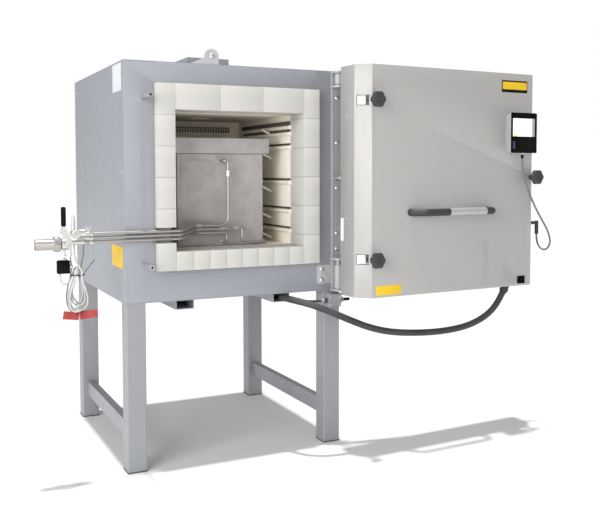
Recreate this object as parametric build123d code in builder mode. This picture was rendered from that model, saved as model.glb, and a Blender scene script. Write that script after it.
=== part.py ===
from build123d import *
import os
from math import atan2, cos, degrees, hypot, radians, sin, tan

# Muffle furnace on a stand, with a parallel-swing door and a gas-tight annealing box.
# Millimetres. X runs to the right, Y to the rear, Z up. The origin is the middle of the
# stand's footprint at floor level. A rise is a height above the casing's bottom. The door is
# drawn open, as it stands when the box is loaded.
os.makedirs("parts", exist_ok=True)

# ---- stand ----
stand_height = 610
body_width = 865
body_depth = 845
leg_size = 70
leg_wall = 3
leg_inset = 3
cap_thickness = 4
cap_lip = 1
cap_plug = 25
push_fit = 0.5
stretcher_height = 60
stretcher_width = 30
stretcher_bottom = 100
tube_wall = 2.5
channel_width = 70
channel_height = 39
channel_wall = 3
channel_setback = 40
left_channel_x = -201
right_channel_x = 191

# ---- casing ----
casing_height = 860
sheet = 3
collar_gap = 1
strip_left = -312
strip_right = 328
strip_thickness = 2

# ---- refractory ----
chamber_width = 511
chamber_floor_rise = 182
opening_height = 508
jamb_width = 66
sill_height = 68
lintel_height = 92
collar_reach = 34.5
collar_depth = 122
brick_joint = 0.8
sill_brick_count = 8
jamb_course_count = 6
lintel_brick_count = 3
chamber_depth = 540
rear_wall_thickness = 66
slot_bottom_rise = 214
slot_height = 56
slot_depth = 62

# ---- heating ----
element_row_rises = (233, 311, 425, 564, 618, 643)
ledge_height = 16
ledge_proud = 13
groove_height = 9
groove_depth = 12
coil_radius = 4
thick_groove_height = 18
thick_coil_radius = 8
ledge_setback = 35
ledge_ahead = 5
rear_coil_rises = (242, 336, 430, 540, 654)
rear_coil_radius = 13
rear_coil_left = -250
rear_coil_right = 215
rear_shelf_height = 8
rear_shelf_proud = 24
running_gap = 0.3
peg_rises = (195, 277, 388, 524, 622)
peg_y = -140
peg_reach = 38
peg_slope = 22
peg_width = 10
peg_height = 8
hatch_y = (-117, -60)
hatch_rises = (425, 442)
hatch_depth = 20
vent_x = -159
vent_y = -244
vent_radius = 12
vent_depth = 40

# ---- roof ----
exhaust_x = 4
exhaust_y = 0
exhaust_size = 178
exhaust_height = 69
exhaust_wall = 3
flue_radius = 45
bracket_x = -103.5
bracket_width = 53
bracket_height = 56
bracket_thickness = 8
bracket_foot = 46
bracket_setback = 1
gusset_length = 110
gusset_height = 24
bracket_bolt_radius = 6
bracket_bolt_height = 5
damper_shaft_radius = 6
damper_boss_radius = 13

# ---- hinge side ----
column_left = 388
column_thickness = 6
column_flange = 3
column_proud = 9
column_bolt_height_rises = (51, 164, 226, 403, 580, 756, 839)
bolt_head_radius = 9
bolt_head_height = 6
hinge_from_side = 30
hinge_ahead = 37.5
pin_radius = 8
pin_clearance = 0.4
knuckle_radius = 20
fork_thickness = 8
arm_gap = 3.5
upper_arm_bottom_rise = 805
upper_arm_height = 40
lower_arm_bottom_rise = 10
lower_arm_height = 92
arm_width = 30
arm_web = 6
lower_fork_top_rise = 122
hinge_plate_left = 326
hinge_plate_bottom_rise = 28
hinge_plate_height = 73
hinge_plate_corner = 8
hinge_plate_bolt_inset = 20
hinge_plate_bolt_pitch = 43
hinge_plate_thickness = 4.5
lug_height_rises = (139, 732)
right_lug_height_rise = 443
lug_size = 14
lug_reach = 108
shelf_reach = 30
shelf_height = 11

# ---- door ----
door_open_yaw = 2.4
arm_open_angle = -9.7
door_sheet = 2
door_depth = 143
door_gap = 9.5
door_left_inset = 18.5
door_right_overhang = 41.5
door_chamfer = 48
door_drop = 6
door_rise = 5
pivot_offset = 0
pivot_depth = 110
seal_gap = 1
notch_bottom_rise = 203
notch_height = 87
notch_depth = 20
window_height = 36
window_width = 34
window_margin = 6
knob_radius = 31.5
knob_thickness = 22
knob_reach = 50
knob_lobes = 6
stud_radius = 4
stud_depth = 30
stud_clearance = 1
right_knob_inset = 7
handle_left = 176
handle_right = 564
handle_rise = 311.5
handle_radius = 14
handle_reach = 60
grip_left = 325
grip_right = 505
grip_radius = 15
controller_left = 625.5
controller_right = 760.5
controller_corner = 4
controller_bottom_rise = 541
controller_height = 161
controller_reach = 61
controller_taper = 22
relief_u = 712
relief_depth = -30
relief_radius = 7
relief_length = 6
fascia_thickness = 5
screen_inset = 6.5
screen_width = 116
screen_lift = 66
screen_height = 72
screen_thickness = 1.5
switch_left = 720
switch_bottom_rise = 3
switch_width = 39
switch_height = 31
switch_rim = 3
rocker_gap = 2
gland_u = 708
gland_depth = 60
gland_radius = 18
gland_nut = 14
gland_sleeve = 22
gland_tilt = 30
socket_depth = 60
socket_height_rise = 248
socket_radius = 8
socket_reach = 44
socket_length = 48

# ---- door switch ----
limit_left = 362
limit_width = 56
limit_bottom_rise = -62
limit_height = 44
limit_depth = 38
limit_top = 6
plunger_radius = 6
plunger_reach = 44
plunger_height_rise = -38
limit_gland_radius = 8
limit_gland_length = 26

# ---- annealing box ----
box_left = -197
box_width = 351
box_front = -290
box_depth = 440
box_floor_gap = 3
box_top_rise = 594
box_sheet = 3
trough_width = 23
trough_bottom_rise = 540
trough_height = 38
lid_thickness = 3
lid_skirt = 56
lid_clearance = 1
pad_depth = 2
pad_corner = 18
large_pad = (-184, -53, 272, 512)
small_pad = (-184, -31, 191, 222)
gas_tube_radius = 5.5
gas_tube_bend = 24
gas_tube_height_rises = (228, 242, 256)
gas_tube_y = -437
inner_tube_y = -329
inner_tube_rise = 8
tube_end_x = -576
boss_radius = 20
boss_length = 6
upper_boss_x = -25
upper_boss_rise = 510
plug_boss_x = -175
plug_boss_rise = 232
riser_x = -7
drop_x = -14
far_tube_x = 62
floor_run_x = 147
floor_run_rise = 195
small_boss_radius = 8
turn_length = 90
tight_bend = 8
riser_bend = 34
branch_setback = 12
branch_radius = 5

# ---- fittings outside the furnace ----
round_fitting_x = -607
round_fitting_radius = 16
round_fitting_depth = 34
round_fitting_hole = 5
fitting_body_radius = 14
fitting_lift = 2
stem_collar = 24
valve_right = -629
valve_chamfer = 6
outlet_radius = 8
valve_axis_rise = 224
valve_left = -660
valve_radius = 20
nut_left = -680
nut_flats = 50
pipe_left = -741
pipe_radius = 19
pipe_wall = 3
valve_turn_x = -636
lever_thickness = 4
lever_ahead = 32
lever_top_rise = 352
lever_half = 10
grip_x = -653
grip_height = 66
grip_width = 16
grip_thickness = 10
stem_x = -614
stem_top_rise = 321
stem_radius = 5
ferrule_wall = 1.8
ferrule_length = 16
tap_x = -563
tap_rise = 283
wing_reach = 9
wing_root = 4
wing_thickness = 3
drip_x = (-646, -626)
drip_radius = 5
drip_bottom_rise = 182
plug_top_rise = 169
plug_length = 45
plug_width = 42
plug_thickness = 18
plug_cap_height = 8
plug_x = -649
plug_corner = 4
coupling_length = 10
plug_cap_width = 24
coupling_radius = 6.5
hank_top_rise = 148
hank_bottom_rise = -10
hank_x = -601
hank_width = 66
hank_neck = 28
hank_tie_rise = 117
hank_thickness = 44
near_lead_x = -612
far_lead_x = -580
lead_drop = 26
plug_loop = 11
sensor_cable_radius = 3

# ---- conduits ----
conduit_radius = 13
controller_cable_radius = 4
conduit_lead = 50
switch_conduit_radius = 5

# ---- places worked out from the sizes above ----
lever_top = stand_height + lever_top_rise
tap_top = stand_height + tap_rise
hank_tie = stand_height + hank_tie_rise
upper_boss_z = stand_height + upper_boss_rise
plug_boss_z = stand_height + plug_boss_rise
floor_run_z = stand_height + floor_run_rise
handle_height = stand_height + handle_rise
chamber_floor = stand_height + chamber_floor_rise
slot_bottom = stand_height + slot_bottom_rise
upper_arm_bottom = stand_height + upper_arm_bottom_rise
lower_arm_bottom = stand_height + lower_arm_bottom_rise
lower_fork_top = stand_height + lower_fork_top_rise
hinge_plate_bottom = stand_height + hinge_plate_bottom_rise
right_lug_height = stand_height + right_lug_height_rise
notch_bottom = stand_height + notch_bottom_rise
controller_bottom = stand_height + controller_bottom_rise
switch_bottom = stand_height + switch_bottom_rise
socket_height = stand_height + socket_height_rise
limit_bottom = stand_height + limit_bottom_rise
plunger_height = stand_height + plunger_height_rise
box_top = stand_height + box_top_rise
trough_bottom = stand_height + trough_bottom_rise
valve_axis = stand_height + valve_axis_rise
stem_top = stand_height + stem_top_rise
drip_bottom = stand_height + drip_bottom_rise
plug_top = stand_height + plug_top_rise
hank_top = stand_height + hank_top_rise
hank_bottom = stand_height + hank_bottom_rise
element_rows = tuple(stand_height + rise for rise in element_row_rises)
column_bolt_heights = tuple(stand_height + rise for rise in column_bolt_height_rises)
lug_heights = tuple(stand_height + rise for rise in lug_height_rises)
gas_tube_heights = tuple(stand_height + rise for rise in gas_tube_height_rises)
half_width = body_width / 2
front_y = -body_depth / 2
rear_y = body_depth / 2
body_top = stand_height + casing_height
leg_x = half_width - leg_inset - leg_size / 2
leg_y = rear_y - leg_inset - leg_size / 2
half_chamber = chamber_width / 2
half_collar = half_chamber + jamb_width
opening_top = chamber_floor + opening_height
collar_bottom = chamber_floor - sill_height
collar_top = opening_top + lintel_height
collar_front = front_y - collar_reach
collar_rear = collar_front + collar_depth
chamber_rear = collar_rear + chamber_depth

hinge_x = half_width - hinge_from_side
hinge_y = front_y - hinge_ahead
closed_front = front_y - door_gap - door_depth
closed_left = -half_width + door_left_inset + door_chamfer
door_width = body_width - door_left_inset + door_right_overhang - 2 * door_chamfer
door_bottom = stand_height - door_drop
door_top = body_top + door_rise
pivot_u = pivot_offset - closed_left
closed_pivot = (pivot_offset, closed_front + pivot_depth)
arm_length = hypot(hinge_x - closed_pivot[0], hinge_y - closed_pivot[1])
arm_closed_angle = degrees(atan2(closed_pivot[1] - hinge_y, closed_pivot[0] - hinge_x))
open_turn = radians(arm_open_angle)
pivot_x = hinge_x + arm_length * cos(open_turn)
pivot_y = hinge_y + arm_length * sin(open_turn)
yaw = radians(door_open_yaw)
door_x = pivot_x - pivot_u * cos(yaw) + pivot_depth * sin(yaw)
door_y = pivot_y - pivot_u * sin(yaw) - pivot_depth * cos(yaw)
block_left = -half_collar - closed_left
block_right = half_collar - closed_left
block_rear = collar_front - seal_gap - closed_front
lug_x = closed_left
right_lug_x = closed_left + door_width - right_knob_inset
door_frame = Plane(origin=(door_x, door_y, 0), x_dir=(cos(yaw), sin(yaw), 0), z_dir=(0, 0, 1))
arm_frame = Plane(
    origin=(hinge_x, hinge_y, 0), x_dir=(cos(open_turn), sin(open_turn), 0), z_dir=(0, 0, 1)
)


def level(z):
    """Horizontal plane at a height."""
    return Plane.XY.offset(z)


def front(y):
    """Upright plane facing the operator; its axes are the furnace's X and the height."""
    return Plane(origin=(0, y, 0), x_dir=(1, 0, 0), z_dir=(0, -1, 0))


def side(x):
    """Upright plane facing right; its axes are the furnace's Y and the height."""
    return Plane(origin=(x, 0, 0), x_dir=(0, 1, 0), z_dir=(1, 0, 0))


def door_level(z):
    """Horizontal plane on the door; its axes run along the face and into the door."""
    return door_frame.offset(z)


def door_face(depth):
    """Plane parallel to the door's face at a depth behind it, facing out."""
    origin = door_frame.from_local_coords(Vector(0, depth, 0))
    return Plane(origin=origin, x_dir=door_frame.x_dir, z_dir=-door_frame.y_dir)


def door_side(u):
    """Upright plane across the door at a distance from its face's left edge."""
    origin = door_frame.from_local_coords(Vector(u, 0, 0))
    return Plane(origin=origin, x_dir=door_frame.y_dir, z_dir=door_frame.x_dir)


def on_door(u, depth, z):
    """Point given by its distance along the face, its depth behind it and its height."""
    return tuple(door_frame.from_local_coords(Vector(u, depth, z)))


def block(plane, across, up, amount, mode=Mode.ADD):
    """Extrude the rectangle between two spans of a plane."""
    with BuildSketch(plane) as outline:
        with Locations(((across[0] + across[1]) / 2, (up[0] + up[1]) / 2)):
            Rectangle(across[1] - across[0], up[1] - up[0])
    extrude(outline.sketch, amount=amount, mode=mode)


def rod(plane, place, radius, amount, mode=Mode.ADD):
    """Extrude a circle at a place on a plane."""
    with BuildSketch(plane) as outline:
        with Locations(place):
            Circle(radius)
    extrude(outline.sketch, amount=amount, mode=mode)


def pipe(points, radius, bends):
    """Sweep a round section along straight runs joined by tangent arcs."""
    with BuildLine() as route:
        FilletPolyline(*points, radius=bends)
    with BuildSketch(Plane(origin=route.line @ 0, z_dir=route.line % 0)) as section:
        Circle(radius)
    sweep(section.sketch, path=route.line)


def cord(name, points, radius):
    """Sweep a cord with the largest arcs that its runs allow, and print their radii."""
    places = [Vector(point) for point in points]
    bends = []
    for before, here, after in zip(places, places[1:], places[2:]):
        turn = radians((here - before).get_angle(after - here))
        shorter = min((here - before).length, (after - here).length)
        bends.append(0.45 * shorter / tan(turn / 2))
    print(name, "radii", [round(bend, 1) for bend in bends])
    pipe(points, radius, bends)


def write(piece, name):
    """Label a finished sub-part and write its STEP file."""
    piece.part.label = name
    export_step(piece.part, f"parts/{name}.step")


# ---- stand ----
leg_places = ((leg_x, leg_y), (-leg_x, leg_y), (-leg_x, -leg_y), (leg_x, -leg_y))
leg_bore = leg_size - 2 * leg_wall
with BuildPart() as legs:
    with BuildSketch(level(cap_thickness)):
        with Locations(*leg_places):
            RectangleRounded(leg_size, leg_size, leg_wall + 1)
            RectangleRounded(leg_bore, leg_bore, 1, mode=Mode.SUBTRACT)
    extrude(amount=stand_height - cap_thickness)
write(legs, "legs")

with BuildPart() as leg_caps:
    with BuildSketch(level(0)):
        with Locations(*leg_places):
            RectangleRounded(leg_size + 2 * cap_lip, leg_size + 2 * cap_lip, leg_wall + 1)
    extrude(amount=cap_thickness)
    with BuildSketch(level(cap_thickness)):
        with Locations(*leg_places):
            Rectangle(leg_bore - 2 * push_fit, leg_bore - 2 * push_fit)
    extrude(amount=cap_plug)
write(leg_caps, "leg_caps")

leg_inner = leg_y - leg_size / 2
with BuildPart() as stretchers:
    with BuildSketch(front(leg_inner)):
        with Locations(*[(x, stretcher_bottom + stretcher_height / 2) for x in (-leg_x, leg_x)]):
            Rectangle(stretcher_width, stretcher_height)
            Rectangle(
                stretcher_width - 2 * tube_wall,
                stretcher_height - 2 * tube_wall,
                mode=Mode.SUBTRACT,
            )
    extrude(amount=2 * leg_inner)
write(stretchers, "stretchers")

channel_z = stand_height - channel_height / 2
with BuildPart() as floor_channels:
    with BuildSketch(front(rear_y - channel_setback)):
        with Locations((left_channel_x, channel_z), (right_channel_x, channel_z)):
            Rectangle(channel_width, channel_height)
            Rectangle(
                channel_width - 2 * channel_wall,
                channel_height - 2 * channel_wall,
                mode=Mode.SUBTRACT,
            )
    extrude(amount=body_depth - 2 * channel_setback)
write(floor_channels, "floor_channels")

# ---- casing ----
with BuildPart() as floor_panel:
    block(level(stand_height), (-half_width, half_width), (front_y, rear_y), sheet)
write(floor_panel, "floor_panel")

with BuildPart() as roof_panel:
    block(level(body_top), (-half_width, half_width), (front_y, rear_y), -sheet)
    rod(level(body_top), (exhaust_x, exhaust_y), flue_radius, -sheet, Mode.SUBTRACT)
write(roof_panel, "roof_panel")

panel_span = (stand_height + sheet, body_top - sheet)
with BuildPart() as side_panels:
    block(side(-half_width), (front_y + sheet, rear_y), panel_span, sheet)
    block(side(half_width), (front_y + sheet, rear_y), panel_span, -sheet)
write(side_panels, "side_panels")

with BuildPart() as rear_panel:
    block(front(rear_y), (-half_width + sheet, half_width - sheet), panel_span, sheet)
write(rear_panel, "rear_panel")

collar_hole = half_collar + collar_gap
with BuildPart() as front_plate:
    block(front(front_y + sheet), (-half_width, half_width), panel_span, sheet)
    block(
        front(front_y + sheet),
        (-collar_hole, collar_hole),
        (collar_bottom - collar_gap, collar_top + collar_gap),
        sheet,
        Mode.SUBTRACT,
    )
    block(
        front(front_y),
        (strip_left, strip_right),
        (collar_top + collar_gap, body_top - sheet),
        strip_thickness,
    )
write(front_plate, "front_plate")

# ---- refractory ----
with BuildPart() as backup_insulation:
    block(
        level(stand_height + sheet),
        (-half_width + sheet, half_width - sheet),
        (front_y + sheet, rear_y - sheet),
        casing_height - 2 * sheet,
    )
    block(
        level(collar_bottom),
        (-half_collar, half_collar),
        (front_y + sheet, chamber_rear + rear_wall_thickness),
        collar_top - collar_bottom,
        Mode.SUBTRACT,
    )
    rod(level(collar_top), (exhaust_x, exhaust_y), flue_radius, body_top - collar_top, Mode.SUBTRACT)
write(backup_insulation, "backup_insulation")

with BuildPart() as chamber_floor_bricks:
    block(level(collar_bottom), (-half_collar, half_collar), (collar_rear, chamber_rear), sill_height)
write(chamber_floor_bricks, "chamber_floor_bricks")

with BuildPart() as chamber_roof_bricks:
    block(level(opening_top), (-half_collar, half_collar), (collar_rear, chamber_rear), lintel_height)
    rod(level(opening_top), (exhaust_x, exhaust_y), flue_radius, lintel_height, Mode.SUBTRACT)
    rod(level(opening_top), (vent_x, vent_y), vent_radius, vent_depth, Mode.SUBTRACT)
write(chamber_roof_bricks, "chamber_roof_bricks")

with BuildPart() as chamber_rear_bricks:
    block(
        front(chamber_rear + rear_wall_thickness),
        (-half_collar, half_collar),
        (collar_bottom, collar_top),
        rear_wall_thickness,
    )
    for rise in rear_coil_rises:
        shelf_top = stand_height + rise - rear_coil_radius - running_gap
        block(
            front(chamber_rear),
            (rear_coil_left, rear_coil_right),
            (shelf_top - rear_shelf_height, shelf_top),
            rear_shelf_proud,
        )
write(chamber_rear_bricks, "chamber_rear_bricks")

ledge_rear = chamber_rear - ledge_setback
ledge_front = collar_rear - ledge_ahead
groove_bottoms = [row + ledge_height / 2 for row in element_rows]
groove_heights = [groove_height] * (len(element_rows) - 1) + [thick_groove_height]
for wall_name, hand in (("left", -1), ("right", 1)):
    with BuildPart() as side_wall:
        block(
            side(hand * half_chamber),
            (collar_rear, chamber_rear),
            (chamber_floor, opening_top),
            hand * jamb_width,
        )
        with BuildSketch(front(ledge_rear)):
            with Locations(*[(hand * half_chamber, row) for row in element_rows]):
                Ellipse(ledge_proud, ledge_height / 2)
        extrude(amount=ledge_rear - ledge_front)
        block(
            side(hand * half_chamber),
            (ledge_front, collar_rear),
            (chamber_floor, opening_top),
            hand * jamb_width,
            Mode.SUBTRACT,
        )
        for bottom, height in zip(groove_bottoms, groove_heights):
            block(
                side(hand * half_chamber),
                (collar_rear, ledge_rear),
                (bottom, bottom + height),
                hand * groove_depth,
                Mode.SUBTRACT,
            )
        if hand > 0:
            block(
                side(half_chamber - ledge_proud),
                hatch_y,
                (stand_height + hatch_rises[0], stand_height + hatch_rises[1]),
                ledge_proud + hatch_depth,
                Mode.SUBTRACT,
            )
            for rise in peg_rises:
                root = stand_height + rise
                with BuildSketch(front(peg_y)):
                    with BuildLine():
                        Polyline(
                            (half_chamber + peg_height, root - peg_height),
                            (half_chamber + peg_height, root),
                            (half_chamber - peg_reach, root + peg_slope),
                            (half_chamber - peg_reach, root + peg_slope - peg_height),
                            close=True,
                        )
                    make_face()
                extrude(amount=peg_width)
    write(side_wall, f"{wall_name}_chamber_wall")

coil_radii = [coil_radius] * (len(element_rows) - 1) + [thick_coil_radius]
with BuildPart() as element_tubes:
    for bottom, radius in zip(groove_bottoms, coil_radii):
        with BuildSketch(front(ledge_rear - running_gap)):
            for hand in (-1, 1):
                coil_x = hand * (half_chamber + groove_depth - radius - running_gap)
                with Locations((coil_x, bottom + radius + running_gap)):
                    Circle(radius)
        extrude(amount=ledge_rear - collar_rear - 2 * running_gap)
    with BuildSketch(side(rear_coil_left)):
        for rise in rear_coil_rises:
            with Locations((chamber_rear - rear_coil_radius - running_gap, stand_height + rise)):
                Circle(rear_coil_radius)
    extrude(amount=rear_coil_right - rear_coil_left)
write(element_tubes, "element_tubes")

# ---- brick collar ----
sill_pitch = chamber_width / sill_brick_count
with BuildPart() as sill_bricks:
    with BuildSketch(level(collar_bottom)):
        with Locations((0, (collar_front + collar_rear) / 2)):
            with GridLocations(sill_pitch, 1, sill_brick_count, 1):
                Rectangle(sill_pitch - brick_joint, collar_depth)
    extrude(amount=sill_height)
write(sill_bricks, "sill_bricks")

lintel_pitch = chamber_width / lintel_brick_count
with BuildPart() as lintel_bricks:
    with BuildSketch(level(opening_top)):
        with Locations((0, (collar_front + collar_rear) / 2)):
            with GridLocations(lintel_pitch, 1, lintel_brick_count, 1):
                Rectangle(lintel_pitch - brick_joint, collar_depth)
    extrude(amount=lintel_height)
write(lintel_bricks, "lintel_bricks")

course_height = (collar_top - collar_bottom) / jamb_course_count
courses = [collar_bottom + course_height * row for row in range(jamb_course_count)]
with BuildPart() as left_jamb_bricks:
    for course in courses:
        block(
            level(course + brick_joint / 2),
            (-half_collar, -half_chamber),
            (collar_front, collar_rear),
            course_height - brick_joint,
        )
    block(
        level(slot_bottom),
        (-half_collar, -half_chamber),
        (collar_front, collar_front + slot_depth),
        slot_height,
        Mode.SUBTRACT,
    )
write(left_jamb_bricks, "left_jamb_bricks")

with BuildPart() as right_jamb_bricks:
    for course in courses:
        block(
            level(course + brick_joint / 2),
            (half_chamber, half_collar),
            (collar_front, collar_rear),
            course_height - brick_joint,
        )
write(right_jamb_bricks, "right_jamb_bricks")

# ---- exhaust on the roof ----
half_exhaust = exhaust_size / 2
exhaust_span_x = (exhaust_x - half_exhaust, exhaust_x + half_exhaust)
exhaust_span_y = (exhaust_y - half_exhaust, exhaust_y + half_exhaust)
shaft_height = body_top + exhaust_height / 2
with BuildPart() as exhaust_housing:
    block(level(body_top), exhaust_span_x, exhaust_span_y, exhaust_height)
    block(
        level(body_top),
        (exhaust_span_x[0] + exhaust_wall, exhaust_span_x[1] - exhaust_wall),
        (exhaust_span_y[0] + exhaust_wall, exhaust_span_y[1] - exhaust_wall),
        exhaust_height - exhaust_wall,
        Mode.SUBTRACT,
    )
    rod(level(body_top), (exhaust_x, exhaust_y), flue_radius, exhaust_height, Mode.SUBTRACT)
    rod(
        front(exhaust_y),
        (exhaust_x, shaft_height),
        damper_shaft_radius + pin_clearance,
        half_exhaust,
        Mode.SUBTRACT,
    )
write(exhaust_housing, "exhaust_housing")

bracket_y = front_y + bracket_setback + bracket_thickness
bolt_z = body_top + bracket_height - bracket_width / 2
with BuildPart() as roof_bracket:
    with BuildSketch(front(bracket_y)):
        with Locations((bracket_x, body_top + bracket_height - bracket_width / 2)):
            Circle(bracket_width / 2)
        straight = bracket_height - bracket_width / 2
        with Locations((bracket_x, body_top + straight / 2)):
            Rectangle(bracket_width, straight)
    extrude(amount=bracket_thickness)
    block(
        level(body_top),
        (bracket_x - bracket_width / 2, bracket_x + bracket_width / 2),
        (bracket_y, bracket_y + bracket_foot),
        bracket_thickness,
    )
    rod(front(bracket_y - bracket_thickness), (bracket_x, bolt_z), bracket_bolt_radius, bracket_bolt_height)
    with BuildSketch(front(bracket_y)):
        with BuildLine():
            Polyline(
                (bracket_x, body_top),
                (bracket_x, body_top + gusset_height),
                (bracket_x - bracket_width / 2, body_top + gusset_height),
                (bracket_x - gusset_length + bracket_width / 2, body_top),
                close=True,
            )
        make_face()
    extrude(amount=bracket_thickness)
write(roof_bracket, "roof_bracket")

# ---- hinge side of the casing ----
column_front = front_y - column_thickness
plate_width = column_left - hinge_plate_left
plate_middle = hinge_plate_bottom + hinge_plate_height / 2
web_front = front_y - column_thickness + column_flange
with BuildPart() as hinge_column:
    block(front(front_y), (column_left, half_width), (stand_height, body_top), column_thickness)
    block(
        front(web_front),
        (column_left + column_proud, half_width),
        (lower_fork_top + fork_thickness, upper_arm_bottom - arm_gap - fork_thickness),
        column_flange,
        Mode.SUBTRACT,
    )
    with BuildSketch(front(front_y)):
        with Locations((hinge_plate_left + plate_width / 2, plate_middle)):
            RectangleRounded(plate_width, hinge_plate_height, hinge_plate_corner)
    extrude(amount=hinge_plate_thickness)
    with BuildSketch(front(front_y - hinge_plate_thickness)):
        with Locations((hinge_plate_left + hinge_plate_bolt_inset, plate_middle)):
            with GridLocations(1, hinge_plate_bolt_pitch, 1, 2):
                Circle(bolt_head_radius)
    extrude(amount=bolt_head_height / 2)
write(hinge_column, "hinge_column")

column_middle = (column_left + column_proud + half_width) / 2
web_bottom = lower_fork_top + fork_thickness
web_top = upper_arm_bottom - arm_gap - fork_thickness
with BuildPart() as column_bolts:
    for height in column_bolt_heights:
        foot_y = web_front if web_bottom < height < web_top else column_front
        rod(front(foot_y), (column_middle, height), bolt_head_radius, bolt_head_height)
    fillet(column_bolts.edges().filter_by(GeomType.CIRCLE).group_by(Axis.Y)[0], bolt_head_height / 2)
write(column_bolts, "column_bolts")

upper_fork = (upper_arm_bottom - arm_gap - fork_thickness, upper_arm_bottom + upper_arm_height + arm_gap)
lower_fork = (stand_height, lower_fork_top)
with BuildPart() as hinge_brackets:
    for fork_bottom in (*upper_fork, *lower_fork):
        with BuildSketch(level(fork_bottom)):
            with Locations((hinge_x, hinge_y)):
                Circle(knuckle_radius)
            with Locations((hinge_x, (hinge_y + column_front) / 2)):
                Rectangle(2 * knuckle_radius, column_front - hinge_y)
        extrude(amount=fork_thickness)
    for fork_bottom, fork_top in (upper_fork, lower_fork):
        rod(
            level(fork_bottom + fork_thickness),
            (hinge_x, hinge_y),
            pin_radius,
            fork_top - fork_bottom - fork_thickness,
        )
write(hinge_brackets, "hinge_brackets")

stud_hole = stud_radius + stud_clearance
lug_places = [(lug_x, height, front_y) for height in lug_heights]
lug_places.append((right_lug_x, right_lug_height, web_front))
with BuildPart() as lugs:
    for x, height, foot_y in lug_places:
        block(
            front(foot_y),
            (x - lug_size / 2, x + lug_size / 2),
            (height - lug_size / 2, height + lug_size / 2),
            foot_y - front_y + lug_reach,
        )
        rod(front(front_y - lug_reach), (x, height), stud_hole, -lug_reach / 2, Mode.SUBTRACT)
    block(
        front(web_front),
        (column_left + column_proud, right_lug_x - lug_size / 2),
        (right_lug_height - shelf_height / 2, right_lug_height + shelf_height / 2),
        shelf_reach,
    )
write(lugs, "lugs")

# ---- swing arms ----
eye_radius = pin_radius + pin_clearance
for arm_name, arm_bottom, arm_height in (
    ("upper", upper_arm_bottom, upper_arm_height),
    ("lower", lower_arm_bottom, lower_arm_height),
):
    with BuildPart() as arm:
        with BuildSketch(arm_frame.offset(arm_bottom)):
            with Locations((0, 0), (arm_length, 0)):
                Circle(arm_width / 2)
            with Locations((arm_length / 2, 0)):
                Rectangle(arm_length, arm_width)
        extrude(amount=arm_height)
        with BuildSketch(arm_frame.offset(arm_bottom + arm_web)):
            with Locations((arm_length / 2, arm_web)):
                Rectangle(arm_length - 2 * arm_width, arm_width)
        extrude(amount=arm_height - 2 * arm_web, mode=Mode.SUBTRACT)
        with BuildSketch(arm_frame.offset(arm_bottom)):
            with Locations((0, 0), (arm_length, 0)):
                Circle(eye_radius)
        extrude(amount=arm_height, mode=Mode.SUBTRACT)
    write(arm, f"{arm_name}_arm")

# ---- door ----
outer_right = door_width + door_chamfer


def door_outline(margin):
    """Plan of the door's outside, drawn in by a margin; it is open to the rear."""
    slope = margin * tan(radians(22.5))
    left = margin - door_chamfer
    right = outer_right - margin
    with BuildLine() as outline:
        Polyline(
            (left, door_depth),
            (left, door_chamfer + slope),
            (slope, margin),
            (door_width - slope, margin),
            (right, door_chamfer + slope),
            (right, door_depth),
            close=True,
        )
    make_face(outline.line)


with BuildPart() as door_shell:
    with BuildSketch(door_level(door_bottom)) as shell_plan:
        door_outline(0)
    extrude(amount=door_top - door_bottom)
    with BuildSketch(door_level(door_bottom + door_sheet)) as hollow_plan:
        door_outline(door_sheet)
    extrude(amount=door_top - door_bottom - 2 * door_sheet, mode=Mode.SUBTRACT)
    block(
        door_side(-door_chamfer),
        (door_depth - notch_depth, door_depth),
        (notch_bottom, notch_bottom + notch_height),
        door_sheet,
        Mode.SUBTRACT,
    )
    for height in lug_heights:
        block(
            door_face(door_chamfer),
            (-door_chamfer + window_margin, -door_chamfer + window_margin + window_width),
            (height - window_height / 2, height + window_height / 2),
            door_chamfer - window_margin,
            Mode.SUBTRACT,
        )
        rod(door_face(door_chamfer), (0, height), stud_hole, door_chamfer, Mode.SUBTRACT)
    block(
        door_face(door_chamfer),
        (outer_right - window_margin - window_width, outer_right - window_margin),
        (right_lug_height - window_height / 2, right_lug_height + window_height / 2),
        door_chamfer - window_margin,
        Mode.SUBTRACT,
    )
    rod(
        door_face(door_chamfer),
        (door_width - right_knob_inset, right_lug_height),
        stud_hole,
        door_chamfer,
        Mode.SUBTRACT,
    )
    block(
        door_face(door_sheet),
        (switch_left + switch_rim, switch_left + switch_width - switch_rim),
        (switch_bottom + switch_rim, switch_bottom + switch_height - switch_rim),
        door_sheet,
        Mode.SUBTRACT,
    )
write(door_shell, "door_shell")

with BuildPart() as door_insulation:
    block(
        door_level(collar_bottom),
        (block_left, block_right),
        (door_sheet, block_rear),
        collar_top - collar_bottom,
    )
    chamfer(door_insulation.faces().sort_by(Axis.Y)[-1].edges(), 4)
write(door_insulation, "door_insulation")

door_lower_fork = (door_bottom + door_sheet, lower_arm_bottom + lower_arm_height + arm_gap)
with BuildPart() as door_brackets:
    for fork_bottom in (*upper_fork, *door_lower_fork):
        with BuildSketch(door_level(fork_bottom)):
            with Locations((pivot_u, pivot_depth)):
                Circle(knuckle_radius)
            with Locations((pivot_u, (pivot_depth + door_sheet) / 2)):
                Rectangle(2 * knuckle_radius, pivot_depth - door_sheet)
        extrude(amount=fork_thickness)
    for fork_bottom, fork_top in (upper_fork, door_lower_fork):
        rod(
            door_level(fork_bottom + fork_thickness),
            (pivot_u, pivot_depth),
            pin_radius,
            fork_top - fork_bottom - fork_thickness,
        )
write(door_brackets, "door_brackets")

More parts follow.
